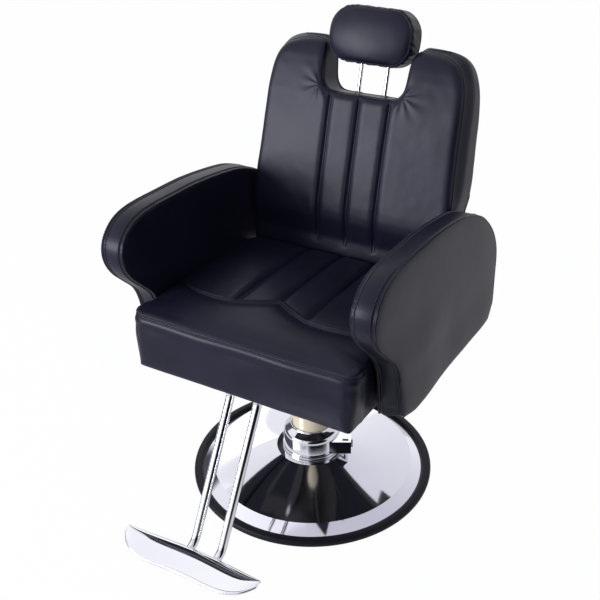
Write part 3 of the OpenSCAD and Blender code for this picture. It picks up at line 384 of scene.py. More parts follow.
def ridge(distance, height, width):
    return height * np.exp(-(distance / width) ** 2)


def dent(distance, depth, width):
    return -ridge(distance, depth, width)


def channel(distance, depth, width):
    """A sewn channel: a wide fall with a narrow crease at its middle and a slight ridge beside that."""
    crease = dent(distance, 0.0036, 0.0024)
    return dent(distance, depth, width) + crease + ridge(distance - 0.0052, 0.0007, 0.0018)


def distance_to(x, places):
    """How far each x is from the nearest of the places."""
    return np.min([np.abs(x - place) for place in places], axis=0)


def join(name, objects):
    """One object made of several that share a frame."""
    verts, faces = [], []
    for o in objects:
        base = len(verts)
        verts += [v.co[:] for v in o.data.vertices]
        faces += [tuple(base + i for i in p.vertices) for p in o.data.polygons]
        bpy.data.objects.remove(o)
    made = mesh_object(name, verts, faces)
    shade_smooth(made)
    return made


def settle(obj, place, body, material):
    """Moves a piece from its own frame into the row frame and hangs it on its body."""
    obj.data.transform(place)
    obj.data.materials.clear()
    obj.data.materials.append(material)
    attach(obj, body)
    return obj


# ---------- Materials ----------

def blank(name):
    mat = bpy.data.materials.new(name)
    mat.use_nodes = True
    tree = mat.node_tree
    return mat, tree, tree.nodes["Principled BSDF"]


def coords(tree):
    return tree.nodes.new("ShaderNodeTexCoord").outputs["Object"]


def texture(tree, kind, at, **inputs):
    """A texture node that reads the coordinates at."""
    n = tree.nodes.new(kind)
    for k, v in inputs.items():
        n.inputs[k].default_value = v
    tree.links.new(at, n.inputs["Vector"])
    return n


def calc(tree, operation, *values):
    """What a math node makes of the values, each a number or another node's output."""
    n = tree.nodes.new("ShaderNodeMath")
    n.operation = operation
    for socket, value in zip(n.inputs, values):
        if isinstance(value, bpy.types.NodeSocket):
            tree.links.new(value, socket)
        else:
            socket.default_value = value
    return n.outputs[0]


def ramp(tree, source, low, high, at=(0.3, 0.7)):
    r = tree.nodes.new("ShaderNodeValToRGB")
    r.color_ramp.elements[0].position, r.color_ramp.elements[1].position = at
    r.color_ramp.elements[0].color = (*low, 1)
    r.color_ramp.elements[1].color = (*high, 1)
    tree.links.new(source, r.inputs["Fac"])
    return r.outputs["Color"]


def spread(tree, source, low, high):
    m = tree.nodes.new("ShaderNodeMapRange")
    m.inputs["To Min"].default_value = low
    m.inputs["To Max"].default_value = high
    tree.links.new(source, m.inputs["Value"])
    return m.outputs["Result"]


def bump(tree, shader, height, strength, distance, under=None):
    b = tree.nodes.new("ShaderNodeBump")
    b.inputs["Strength"].default_value = strength
    b.inputs["Distance"].default_value = distance
    tree.links.new(height, b.inputs["Height"])
    if under:
        tree.links.new(under, b.inputs["Normal"])
    tree.links.new(b.outputs["Normal"], shader.inputs["Normal"])
    return b.outputs["Normal"]


def end_in_mix(tree, out, share, first, second):
    """Gives the output node the first shader, and the second in its share."""
    mix = tree.nodes.new("ShaderNodeMixShader")
    for source, socket in zip((share, first.outputs[0], second.outputs[0]), mix.inputs):
        tree.links.new(source, socket)
    tree.links.new(mix.outputs[0], out.inputs["Surface"])


def leather_material(name, dark, light, rough, grain=1.0):
    """Smooth coated leather: fine pebble grain, slow changes of tone and gloss."""
    mat, tree, shader = blank(name)
    at = coords(tree)
    tone = texture(tree, "ShaderNodeTexNoise", at, Scale=9.0, Detail=3.0)
    tree.links.new(ramp(tree, tone.outputs["Fac"], dark, light), shader.inputs["Base Color"])
    tree.links.new(spread(tree, tone.outputs["Fac"], rough - 0.03, rough + 0.03), shader.inputs["Roughness"])
    cells = texture(tree, "ShaderNodeTexVoronoi", at, Scale=780.0)
    cells.feature = "SMOOTH_F1"
    fine = texture(tree, "ShaderNodeTexNoise", at, Scale=260.0, Detail=4.0)
    first = bump(tree, shader, fine.outputs["Fac"], 0.10 * grain, 0.0008)
    bump(tree, shader, cells.outputs["Distance"], 0.16 * grain, 0.0004, first)
    shader.inputs["Specular IOR Level"].default_value = 0.22
    return mat


def metal_material(name, colour, rough, mottle=0.02):
    mat, tree, shader = blank(name)
    shader.inputs["Base Color"].default_value = (*colour, 1)
    shader.inputs["Metallic"].default_value = 1.0
    wear = texture(tree, "ShaderNodeTexNoise", coords(tree), Scale=35.0, Detail=5.0)
    tree.links.new(spread(tree, wear.outputs["Fac"], rough, rough + mottle), shader.inputs["Roughness"])
    return mat


def coated_material(name, dark, light, rough, grain_scale, grain, specular=0.5):
    """Paint, rubber or moulded plastic: slight mottling and a fine surface grain."""
    mat, tree, shader = blank(name)
    at = coords(tree)
    tone = texture(tree, "ShaderNodeTexNoise", at, Scale=14.0, Detail=4.0)
    tree.links.new(ramp(tree, tone.outputs["Fac"], dark, light), shader.inputs["Base Color"])
    tree.links.new(spread(tree, tone.outputs["Fac"], rough - 0.04, rough + 0.04), shader.inputs["Roughness"])
    fine = texture(tree, "ShaderNodeTexNoise", at, Scale=grain_scale, Detail=2.0)
    bump(tree, shader, fine.outputs["Fac"], grain, 0.0005)
    shader.inputs["Specular IOR Level"].default_value = specular
    return mat


def plywood_material():
    mat, tree, shader = blank("plywood")
    grain = texture(tree, "ShaderNodeTexWave", coords(tree), Scale=9.0, Distortion=6.0, Detail=3.0)
    tree.links.new(ramp(tree, grain.outputs["Fac"], (0.36, 0.22, 0.11), (0.55, 0.38, 0.21)),
                   shader.inputs["Base Color"])
    shader.inputs["Roughness"].default_value = 0.6
    bump(tree, shader, grain.outputs["Fac"], 0.1, 0.0005)
    return mat


LEATHER = leather_material("leather", (0.0070, 0.0068, 0.0165), (0.0110, 0.0106, 0.0245), 0.38)
PIPE = leather_material("leather_piping", (0.010, 0.010, 0.019), (0.014, 0.014, 0.026), 0.36, 0.5)
THREAD = coated_material("thread", (0.012, 0.012, 0.016), (0.02, 0.02, 0.026), 0.55, 2200, 0.3)
CHROME = metal_material("chrome_plate", (0.84, 0.84, 0.855), 0.03)
DISH = metal_material("chrome_dish", (0.82, 0.82, 0.87), 0.05)
ZINC = metal_material("zinc_plate", (0.55, 0.56, 0.58), 0.28, mottle=0.12)
BRONZE = metal_material("bronze", (0.52, 0.34, 0.14), 0.3, mottle=0.1)
RUBBER = coated_material("rubber", (0.005, 0.005, 0.009), (0.008, 0.008, 0.013), 0.45, 900, 0.25, 0.2)
STEEL = coated_material("black_steel", (0.012, 0.012, 0.013), (0.02, 0.02, 0.021), 0.38, 700, 0.2)
ENAMEL = coated_material("ivory_enamel", (0.80, 0.72, 0.47), (0.84, 0.77, 0.54), 0.25, 120, 0.08)
PLASTIC = coated_material("plastic", (0.012, 0.012, 0.012), (0.02, 0.02, 0.02), 0.42, 1100, 0.3)
PLYWOOD = plywood_material()

FINISHES = {
    DISH: ["base_dish"],
    CHROME: ["pump_collar", "pump_cover", "pedal_bracket", "pedal_lever", "piston_rod",
             "post_sleeve_left", "post_sleeve_right", "headrest_post_left", "headrest_post_right",
             "clamp_lever", "footrest_tube_left", "footrest_tube_right", "foot_plate"],
    ZINC: ["pump_foot_bolts", "pump_gland", "pedal_pin", "piston_head", "hub_bolt", "hub_plate_bolts",
           "arm_bolts", "arm_spacers", "hinge_bolts", "recline_pin_left", "recline_pin_right",
           "bracket_screws", "clamp_spacer", "clamp_washer", "foot_plate_bolts"],
    BRONZE: ["swivel_washer"],
    RUBBER: ["base_trim", "rod_wiper", "pedal_pad", "piston_seal"],
    STEEL: ["base_ballast", "seat_frame", "hinge_plate_left", "hinge_plate_right",
            "back_bracket_left", "back_bracket_right", "recline_quadrant", "footrest_bracket", "foot_lugs"],
    ENAMEL: ["pump_body"],
    PLASTIC: ["post_block", "lever_grip", "lever_bushing", "tube_end_caps"],
    PLYWOOD: ["seat_board", "arm_board_left", "arm_board_right", "back_board", "headrest_core"],
    LEATHER: ["seat_cushion", "arm_pad_left", "arm_pad_right", "back_cushion", "back_cover", "headrest_pad"],
}


def paint_cad():
    for material, names in FINISHES.items():
        for n in names:
            nodes[n].data.materials.clear()
            nodes[n].data.materials.append(material)


# ---------- Seat ----------

SEAT_SIDE = [(-0.3015, 0.0), (-0.3055, 0.03), (-0.3075, 0.065), (-0.3065, 0.100), (-0.3045, 0.122),
             (-0.2990, 0.132), (-0.272, 0.141), (-0.228, 0.147), (-0.17, 0.150), (-0.08, 0.1515),
             (0.03, 0.1505), (0.095, 0.1495), (0.132, 0.1485), (0.148, 0.144), (SEAT_REAR, 0.135),
             (SEAT_REAR, 0.0)]
WAVE_HALF = [(0.0, -0.136), (0.042, -0.161), (0.088, -0.181), (0.140, -0.185), (0.190, -0.180),
             (0.225, -0.166), (0.262, -0.146)]
SEAM_Z = 0.1235


def wave_seam():
    """The seam across the seat's top, in plan: a V at the middle and at each outer groove."""
    half = []
    for a, b in ((0, 3), (2, 7)):
        half += list(smooth_curve(WAVE_HALF[a:b], 6))
    half = np.array(half)
    return np.vstack([half[::-1] * (-1, 1), half])


def seat_half(y):
    """Half the seat's width: the front block is wider than the part between the arms."""
    return SEAT_HALF + SEAT_EAR * np.clip((-0.243 - y) / 0.009, 0, 1)


def seat_corner(z):
    """Radius of the front corners in plan, which grows towards the top."""
    return np.interp(z, (0.0, 0.085, 0.128), (0.015, 0.018, 0.029))


def seat_front_seam(lift, out=0.0):
    """The seam round the top of the front face, from one arm to the other."""
    corner = seat_corner(SEAM_Z)
    r = corner + out
    cx, cy = SEAT_HALF + SEAT_EAR - corner, SEAT_FRONT + corner
    turn = [(cx + r * math.sin(a), cy - r * math.cos(a)) for a in np.linspace(0, math.pi / 2, 9)]
    right = turn + [(cx + r, -0.265), (cx + r, -0.250)]
    plan = [(-x, y) for x, y in right[::-1]] + right
    path = [(x, y, SEAM_Z + lift - 0.002 * math.cos(8 * x)) for x, y in plan]
    return resample(path, PATH_STEP)


def make_seat():
    widest = SEAT_HALF + SEAT_EAR
    verts, faces = closed_prism([(y, z) for y, z in SEAT_SIDE], -widest, widest, lambda p, q, t: (t, p, q))
    obj = mesh_object("seat_upholstery", verts, faces)
    voxel_remesh(obj, VOXEL)
    co = get_co(obj)
    # Width, corners in plan, and the fall of the top towards the sides
    half = seat_half(co[:, 1])
    co[:, 0] = np.clip(co[:, 0], -half, half)
    corner = seat_corner(co[:, 2])
    cx, cy = widest - corner, SEAT_FRONT + corner
    d = np.stack([np.abs(co[:, 0]) - cx, cy - co[:, 1]], axis=1)
    h = np.hypot(*d.T)
    k = np.where((d > 0).all(axis=1) & (h > corner), corner / np.maximum(h, 1e-9), 1)
    co[:, 0] = np.where(k < 1, np.sign(co[:, 0]) * (cx + d[:, 0] * k), co[:, 0])
    co[:, 1] = np.where(k < 1, cy - d[:, 1] * k, co[:, 1])
    drawn_in = 0.009 * ease((0.085 - co[:, 2]) / 0.085) * np.clip((-0.243 - co[:, 1]) / 0.012, 0, 1)
    co[:, 0] -= drawn_in * np.clip(co[:, 0] / 0.2, -1, 1)
    top = np.clip((co[:, 2] - 0.10) / 0.03, 0, 1)
    edge = np.clip(1 - (half - np.abs(co[:, 0])) / 0.05, 0, 1)
    co[:, 2] -= 0.014 * top * edge ** 2 * np.clip((co[:, 1] + 0.30) / 0.05, 0, 1)
    set_co(obj, relax(obj, co, 3))

    co = get_co(obj)
    upper = co[:, 2] > 0.128
    wave = wave_seam()
    to_wave = nearest_on(co[:, :2], wave)[0]
    wave_y = np.interp(co[:, 0], wave[:, 0], wave[:, 1])
    behind = co[:, 1] > wave_y
    to_groove = distance_to(co[:, 0], SEAT_GROOVES)
    sewn = upper & ((to_wave < 0.0045) | (behind & (to_groove < 0.0040)))
    seam = seat_front_seam(0)
    to_seam = nearest_on(co, seam)[0]
    held = sewn | (co[:, 2] < 0.012) | (to_seam < 0.006) | (co[:, 1] > SEAT_REAR - 0.004) \
        | (np.abs(co[:, 0]) > seat_half(co[:, 1]) - 0.003)
    swell(obj, held, 0.0105)

    subdivide(obj)
    co = get_co(obj)
    normal = get_normals(obj)
    upper = np.clip((co[:, 2] - 0.125) / 0.01, 0, 1)
    wave_d = nearest_on(co[:, :2], wave)[0]
    wave_y = np.interp(co[:, 0], wave[:, 0], wave[:, 1])
    side = np.where(co[:, 1] > wave_y, wave_d, -wave_d)
    back_part = np.clip((side - 0.002) / 0.004, 0, 1)
    height = upper * back_part * channel(distance_to(co[:, 0], SEAT_GROOVES), 0.0045, 0.009)
    height += upper * (dent(side + 0.0015, 0.0042, 0.0030) + dent(side + 0.006, 0.0022, 0.014)
                       + ridge(side - 0.0040, 0.0026, 0.0026))
    path_d = nearest_on(co, seam)[0]
    lower = co[:, 2] < SEAM_Z
    height += dent(path_d, 0.0022, 0.0030) + ridge(path_d - 0.012, np.where(lower, 0.0022, 0.0008), 0.008)
    # Slow ripples under the seam and shallow dents all over
    ripple = np.cos((co[:, 0] + 0.095) * 29) * (co[:, 1] < -0.27)
    height += ripple * ridge(co[:, 2] - 0.107, 0.0012, 0.016)
    height += wobble(co, 14.0, 0.0007, 1) + wobble(co, 40.0, 0.00022, 2)
    set_co(obj, co + normal * height[:, None])
    shade_smooth(obj)

    lines, threads = [], []
    for lift, out in ((0.0034, -0.0014), (-0.0024, 0.0002)):
        path, nrm = snap(seat_front_seam(lift, out), obj, -0.0004)
        path = even(path, 3)
        lines.append(tube("piping", path, PIPING * 0.60))
        threads.append(stitches("thread", path + nrm * PIPING * 0.66, nrm))
    welt = resample([(x, y, 0.152) for x, y in wave + (0, 0.0042)], PATH_STEP)
    lines.append(tube("piping", even(snap(welt, obj, 0.0)[0], 1), PIPING * 0.50))
    piping = join("seat_piping", lines)
    thread = join("seat_thread", threads)

    settle(obj, SEAT, "seat", LEATHER)
    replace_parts(obj, "seat_cushion")
    settle(piping, SEAT, "seat", PIPE)
    settle(thread, SEAT, "seat", THREAD)


# ---------- Arms ----------

ARM_SIDE = [(-0.190, -0.013), (-0.197, 0.040), (-0.204, 0.080), (-0.214, 0.115), (-0.232, 0.146),
            (-0.264, 0.176), (-0.297, 0.207), (-0.316, 0.235), (-0.323, 0.262), (-0.319, 0.287),
            (-0.306, 0.307), (-0.285, 0.324), (-0.255, 0.335), (-0.213, 0.340), (-0.140, 0.341),
            (-0.040, 0.340), (0.084, 0.328), (0.144, 0.314), (0.200, 0.291), (0.244, 0.263),
            (0.285, 0.228), (0.315, 0.188), (0.330, 0.148), (0.334, 0.096), (0.332, 0.050),
            (0.327, 0.012), (0.310, -0.013)]
ARM_EDGE = 0.0065


def arm_inner(y, z):
    """x of the inner face: the tab below the armrest is a little thinner on this side."""
    narrow = np.clip((0.150 - z) / 0.05, 0, 1) * np.clip((-0.10 - y) / 0.05, 0, 1)
    return ARM_IN + 0.001 + 0.0065 * narrow


def arm_outer(y, z):
    """x of the outer face, which flares towards the tab and the bottom."""
    flare = 0.006 * ease((0.22 - z) / 0.12) * ease((0.06 - y) / 0.16)
    return ARM_IN + ARM_T - 0.003 + flare + 0.003 * ease((0.10 - z) / 0.10)


ARM_SEAMS = (arm_inner, 0.0065), (arm_outer, -0.0075)   # how far each seam lies from its face


def make_arm(side):
    """side is 1 for the sitter's left arm and -1 for the right one."""
    name = "left" if side > 0 else "right"
    outline = smooth_curve(ARM_SIDE, 5)
    verts, faces = closed_prism(outline, ARM_IN, ARM_IN + ARM_T + 0.016, lambda p, q, t: (t, p, q))
    obj = mesh_object("arm_upholstery_" + name, verts, faces)
    voxel_remesh(obj, VOXEL)
    co = get_co(obj)
    co = round_edges(co[:, [1, 2, 0]], outline, arm_inner, arm_outer, ARM_EDGE, ARM_EDGE)[:, [2, 0, 1]]
    # The tab's outer corner is rounded off below
    outside, tab, low = (co[:, 0] - 0.278) / 0.045, (-0.125 - co[:, 1]) / 0.065, (0.05 - co[:, 2]) / 0.05
    co[:, 2] += 0.011 * ease(outside) * ease(tab) * ease(low)
    set_co(obj, relax(obj, co, 2))

    co = get_co(obj)
    normal = get_normals(obj)
    mid = ARM_IN + ARM_T / 2
    e = nearest_on(co[:, 1:], outline)[0]
    across = (co[:, 0] - mid) / (ARM_T / 2)
    face = np.abs(normal[:, 0]) > 0.8
    bottom = co[:, 2] < 0.02
    puff = np.where(face & (co[:, 0] > mid), 0.0030 * (1 - np.exp(-e / 0.03)), 0)
    puff += np.where(~face, 0.0030 * (1 - across ** 2) * ~bottom, 0)
    set_co(obj, co + relax(obj, normal * puff[:, None], 6))

    subdivide(obj)
    co = get_co(obj)
    normal = get_normals(obj)
    height = wobble(co, 12.0, 0.0006, 3) + wobble(co, 45.0, 0.00008, 4)
    on_band = np.clip((0.020 - nearest_on(co[:, 1:], outline)[0]) / 0.006, 0, 1)
    for face, inset in ARM_SEAMS:
        height += on_band * dent(co[:, 0] - face(co[:, 1], co[:, 2]) - inset, 0.0018, 0.0022)
    set_co(obj, co + normal * height[:, None])
    shade_smooth(obj)

    lines, threads = [], []
    for face, inset in ARM_SEAMS:
        path = resample(np.column_stack([face(*outline.T) + inset, outline]), PATH_STEP)
        for dx in (-0.0048, 0.0048):
            p, nrm = snap(path + (dx, 0, 0), obj, -0.0004)
            p = even(p, 3)
            lines.append(tube("piping", p, PIPING * 0.66))
            threads.append(stitches("thread", p + nrm * PIPING * 0.60, nrm))
    piping = join("arm_piping_" + name, lines)
    thread = join("arm_thread_" + name, threads)
    pieces = (obj, piping, thread)
    if side < 0:
        for o in pieces:
            o.data.transform(Matrix.Scale(-1, 4, (1, 0, 0)))
            o.data.flip_normals()
    settle(obj, SEAT, "seat", LEATHER)
    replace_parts(obj, "arm_pad_" + name)
    settle(piping, SEAT, "seat", PIPE)
    settle(thread, SEAT, "seat", THREAD)


# ---------- Backrest ----------

BACK_HALF = [(0.0, -0.035), (0.238, -0.035), (0.2475, -0.028), (0.250, -0.010), (0.2505, 0.05), (0.250, 0.15),
             (0.247, 0.20), (0.244, 0.27), (0.242, 0.34), (0.239, 0.38), (0.2345, 0.41), (0.225, 0.435),
             (0.209, 0.455), (0.187, 0.466), (0.163, 0.472), (0.134, BACK_TOP), (0.117, 0.471),
             (0.1075, 0.461), (0.1045, 0.445), (0.1035, 0.420), (0.1025, 0.395), (0.099, 0.380),
             (0.090, 0.368), (0.076, NOTCH_FLOOR), (0.0, NOTCH_FLOOR - 0.001)]
BACK_FRONT = [(-0.035, 0.040), (-0.02, 0.031), (0.0, 0.029), (0.025, 0.027), (0.05, 0.017), (0.07, 0.009),
              (0.09, 0.005), (0.11, 0.0035), (0.20, 0.003), (0.30, 0.003), (0.35, 0.004), (0.38, 0.006),
              (0.41, 0.008), (0.435, 0.011), (0.455, 0.016), (0.474, 0.026)]
BACK_REAR = [(-0.035, 0.094), (-0.02, 0.104), (0.0, 0.109), (0.06, 0.110), (0.13, 0.114), (0.24, 0.109),
             (0.33, 0.104), (0.39, 0.098), (0.44, 0.091), (0.462, 0.082), (0.474, 0.067)]
BACK_EDGES = (0.014, 0.010)   # radii of the front and the rear rim


def back_outline():
    half = []
    for a, b in ((1, 9), (8, 19), (18, len(BACK_HALF))):
        half += list(smooth_curve(BACK_HALF[a:b], 4)[:-1])
    half = np.array(half + [BACK_HALF[-1]])
    return np.vstack([half, half[::-1][1:] * (-1, 1)])


def profile(table):
    z, y = np.array(table).T
    return lambda p, q: np.interp(q, z, y)


def make_back():
    outline = back_outline()
    front, rear = profile(BACK_FRONT), profile(BACK_REAR)
    verts, faces = closed_prism(outline, -0.004, 0.128, lambda p, q, t: (p, t, q))
    obj = mesh_object("back_upholstery", verts, faces)
    voxel_remesh(obj, VOXEL)
    co = get_co(obj)
    co = round_edges(co[:, [0, 2, 1]], outline, front, rear, *BACK_EDGES)[:, [0, 2, 1]]
    # The band round the outside stands proud of the face's seam
    depth = co[:, 1] - front(0, co[:, 2])
    band = 0.0125 * ease((depth - 0.012) / 0.035) * ease((co[:, 2] - 0.11) / 0.10)
    x = np.abs(co[:, 0])
    away = np.stack([np.sign(co[:, 0]) * ease((x - 0.13) / 0.10),
                     ease((co[:, 2] - 0.40) / 0.07) * ease((x - 0.104) / 0.02)], axis=1)
    co[:, [0, 2]] += away * band[:, None]
    set_co(obj, relax(obj, co, 3))

    co = get_co(obj)
    normal = get_normals(obj)
    to_groove = distance_to(co[:, 0], BACK_GROOVES)
    front_side = co[:, 1] < 0.5 * (front(0, co[:, 2]) + rear(0, co[:, 2]))
    facing = normal[:, 1] < -0.6
    below_notch = (co[:, 2] > 0.0) & (co[:, 2] < NOTCH_FLOOR - 0.004)
    in_grooves = front_side & facing & below_notch & (to_groove < 0.0040)
    e = nearest_on(co[:, [0, 2]], outline, closed=True)[0]
    rim = (e < 0.006) & (np.abs(co[:, 1] - front(0, co[:, 2]) - 0.010) < 0.006)
    held = in_grooves | rim | (~front_side)
    swell(obj, held, 0.0085)

    subdivide(obj)
    co = get_co(obj)
    normal = get_normals(obj)
    front_side = np.clip((-normal[:, 1] - 0.2) / 0.4, 0, 1) * (co[:, 1] < 0.06)
    ends = np.clip((co[:, 2] - 0.005) / 0.03, 0, 1) * np.clip((NOTCH_FLOOR - 0.001 - co[:, 2]) / 0.012, 0, 1)
    height = front_side * ends * channel(distance_to(co[:, 0], BACK_GROOVES), 0.0040, 0.0085)
    height += wobble(co, 13.0, 0.0009, 5) + wobble(co, 42.0, 0.00022, 6)
    # Folds that fan out from the notch's lower corners
    for sx in (-1, 1):
        dx, dz = co[:, 0] - sx * 0.104, co[:, 2] - 0.372
        r, a = np.hypot(dx, dz), np.arctan2(dz, dx * sx)
        fan = np.sin(a * 9 + 0.6) * np.exp(-(r / 0.045) ** 2) * np.clip(r / 0.012, 0, 1)
        height += front_side * 0.0006 * fan
    set_co(obj, co + normal * height[:, None])
    shade_smooth(obj)

    lines, threads = [], []
    x, z = even(resample(outline, PATH_STEP, closed=True), 2, closed=True).T
    for y, beside in ((front(x, z) + BACK_EDGES[0], 0.0042), (rear(x, z) - BACK_EDGES[1], -0.0042)):
        path, nrm = snap(np.column_stack([x, y, z]), obj, -0.0002)
        path = even(path, 3, closed=True)
        lines.append(tube("piping", path, PIPING * 0.85, closed=True))
        threads.append(stitches("thread", path + nrm * 0.0002 + (0, beside, 0), nrm))
    piping = join("back_piping", lines)
    thread = join("back_thread", threads)
    settle(obj, BACK, "back", LEATHER)
    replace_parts(obj, "back_cushion", "back_cover")
    settle(piping, BACK, "back", PIPE)
    settle(thread, BACK, "back", THREAD)


# ---------- Headrest ----------

def head_outline():
    """Rounded box with slightly bowed sides, in x and z."""
    points = []
    hw, hh, r = HEAD_HALF, HEAD_H / 2, 0.047
    for sx, sz, a in ((1, -1, -90), (1, 1, 0), (-1, 1, 90), (-1, -1, 180)):
        points += arc2((sx * (hw - r), sz * (hh - r)), r, a, a + 90, 8)
    bow = [(0.010 if z > 0 else 0.004) * (x / hw) ** 2 * (1 if z > 0 else -1) * min(abs(z) / 0.02, 1)
           for x, z in points]
    return np.array([(x, z + HEAD_MID - b) for (x, z), b in zip(points, bow)])


def make_headrest():
    outline = head_outline()

    def dome(p, q):
        rr = (p / HEAD_HALF) ** 2 + ((q - HEAD_MID) / (HEAD_H / 2)) ** 2
        return np.clip(1 - rr, 0, 1) ** 0.7

    def front(p, q):
        return 0.014 - 0.012 * dome(p, q)

    def rear(p, q):
        return HEAD_FRONT + HEAD_T - 0.010 + 0.006 * dome(p, q)

    verts, faces = closed_prism(outline, -0.006, 0.092, lambda p, q, t: (p, t, q))
    obj = mesh_object("headrest_upholstery", verts, faces)
    voxel_remesh(obj, 0.0034)
    co = get_co(obj)
    flat = round_edges(co[:, [0, 2, 1]], outline, front, rear, 0.012, 0.012)
    set_co(obj, relax(obj, flat[:, [0, 2, 1]], 3))
    co = get_co(obj)
    e = nearest_on(co[:, [0, 2]], outline, closed=True)[0]
    swell(obj, (distance_to(co[:, 1], HEAD_SEAMS) < 0.003) & (e < 0.006), 0.0065)

    subdivide(obj)
    co = get_co(obj)
    normal = get_normals(obj)
    e, seg, part = nearest_on(co[:, [0, 2]], outline, closed=True)
    at_side = np.clip((0.02 - e) / 0.01, 0, 1)
    band = np.exp(-((co[:, 1] - 0.044) / 0.020) ** 4)
    step = np.linalg.norm(np.roll(outline, -1, axis=0) - outline, axis=1)
    along = np.concatenate([[0], np.cumsum(step)])[seg] + part * step[seg]
    near_seam = ridge(co[:, 1] - 0.024, 1, 0.010) + ridge(co[:, 1] - 0.064, 0.8, 0.010)
    jitter = wobble(np.column_stack([along, co[:, 1] * 0.3, 0 * along]), 60.0, 2.2, 8)
    gathers = np.sin(along * 2 * math.pi / 0.0135 + jitter)
    height = at_side * (0.00055 * gathers * near_seam
                        + 0.0007 * band * np.sin(along * 2 * math.pi / 0.027 + jitter * 1.3))
    height += dent(np.hypot(co[:, 1] - HEAD_SEAMS[0], np.maximum(e - 0.004, 0)), 0.0022, 0.0030)
    height += wobble(co, 22.0, 0.0006, 7)
    set_co(obj, co + normal * height[:, None])
    shade_smooth(obj)

    lines = []
    x, z = even(resample(outline, 0.0035, closed=True), 1, closed=True).T
    for y in (HEAD_SEAMS[0] - 0.003, HEAD_SEAMS[1]):
        path = snap(np.column_stack([x, np.full(len(x), y), z]), obj, 0.0004)[0]
        lines.append(tube("piping", even(path, 3, closed=True), PIPING * 0.7, closed=True))
    piping = join("headrest_piping", lines)
    settle(obj, BACK, "headrest", LEATHER)
    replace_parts(obj, "headrest_pad")
    settle(piping, BACK, "headrest", PIPE)


# ---------- Metalwork ----------

def curve3(a, pull, b, n=16):
    """Quadratic curve from a to b, drawn towards pull."""
    t = np.linspace(0, 1, n + 1)[:, None]
    return list(np.array(a) * (1 - t) ** 2 + 2 * np.array(pull) * t * (1 - t) + np.array(b) * t ** 2)


def turned(name, profile, steps=256):
    """A turned piece from its closed outline of radius and height."""
    p = np.array(profile)
    n = len(p)
    a = np.linspace(0, 2 * math.pi, steps, endpoint=False)
    verts = [(r * math.cos(t), r * math.sin(t), z) for t in a for r, z in p]
    faces = [(i * n + j, ((i + 1) % steps) * n + j, ((i + 1) % steps) * n + (j + 1) % n, i * n + (j + 1) % n)
             for i in range(steps) for j in range(n)]
    return mesh_object(name, verts, faces)


def finish_metal(obj, material, body, place=Matrix.Identity(4), sharp=35):
    """Smooth shading with crisp edges where the faces turn by more than sharp degrees."""
    shade_smooth(obj)
    obj.data.set_sharp_from_angle(angle=math.radians(sharp))
    return settle(obj, place, body, material)


RIM = (0.276, 0.009)
CREASE = (0.243, 0.0295)
NECK = (0.086, 0.066)
PUMP_R = 0.047
DISH_T = 0.003


def make_dish():
    foot, head = math.tan(math.radians(9)), math.tan(math.radians(20))
    mid = (CREASE[1] - NECK[1] + foot * CREASE[0] - head * NECK[0]) / (foot - head)
    cone = curve3(CREASE, (mid, CREASE[1] + foot * (CREASE[0] - mid)), NECK, 40)
    top = [RIM] + cone + [(PUMP_R + 0.0002, NECK[1])]
    obj = turned("dish", top + [(r, z - DISH_T) for r, z in top[::-1]], 360)
    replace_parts(finish_metal(obj, DISH, "base", sharp=12), "base_dish")


def make_shroud():
    """The ring on the dish and the bright cover round the foot of the pump."""
    bore, low, edge, high = PUMP_R + 0.0002, NECK[1], 0.0715, 0.0738
    ring = [(bore, low)] + curve3((0.0688, low), (edge, low), (edge, 0.069), 8) \
        + curve3((edge, 0.0712), (edge, 0.0735), (0.0698, high), 8) + [(bore, high)]
    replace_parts(finish_metal(turned("shroud_ring", ring), CHROME, "base"), "pump_collar")
    wall, rim, top, shoulder, foot = 0.069, 0.0505, 0.134, 0.116, high + 0.0003
    outer = [(wall, foot)] \
        + curve3((wall, shoulder - 0.008), (wall, shoulder + 0.001), (wall - 0.007, shoulder + 0.006)) \
        + curve3((rim + 0.0022, top - 0.0035), (rim + 0.0006, top - 0.002), (rim, top), 8)[:-1] \
        + arc2((rim - 0.0010, top), 0.0010, 0, 180, 8)
    inner = [(rim - 0.0022, top - 0.004), (wall - 0.008, shoulder + 0.001), (wall - 0.003, shoulder - 0.008),
             (wall - 0.003, foot)]
    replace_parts(finish_metal(turned("shroud", outer + inner), CHROME, "base"), "pump_cover")


HUB_R, HUB_BORE, HUB_HALF, HUB_T = 0.030, 0.0175, 0.090, 0.006
HUB_CORNER = 0.012


def make_hub():
    """The plated neck that turns on the rod, and the painted plate and ribs that carry the seat."""
    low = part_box("seat_hub")[0][2]
    top = SEAT_Z - HUB_T
    neck = turned("hub_neck", [(HUB_BORE, low), (HUB_R - 0.0015, low), (HUB_R, low + 0.0015), (HUB_R, top),
                               (HUB_BORE, top)], 96)
    corners = []
    for sx, sy, a in ((1, 1, 0), (-1, 1, 90), (-1, -1, 180), (1, -1, 270)):
        centre = sx * (HUB_HALF - HUB_CORNER), sy * (HUB_HALF - HUB_CORNER)
        corners += arc2(centre, HUB_CORNER, a, a + 90, 6)
    plate = mesh_object("hub_plate", *closed_prism(corners, -HUB_T, 0, lambda x, y, t: (x, y, t)))
    plate.data.transform(SEAT)
    parts = [plate]
    root, tip = HUB_R - 0.003, HUB_HALF - 0.006
    rib = [(root, low + 0.008), (HUB_R + 0.002, low + 0.008), (tip, top - 0.001), (tip, top + 0.001),
           (root, top + 0.001)]
    for a in np.radians((45, 135, 225, 315)):
        c, d = math.cos(a), math.sin(a)
        shape = closed_prism(rib, -0.003, 0.003, lambda r, z, t: (c * r - d * t, d * r + c * t, z))
        parts.append(mesh_object("hub_rib", *shape))
    plate = join("hub_plate", parts)
    finish_metal(plate, STEEL, "seat")
    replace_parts(finish_metal(neck, CHROME, "seat"), "seat_hub")


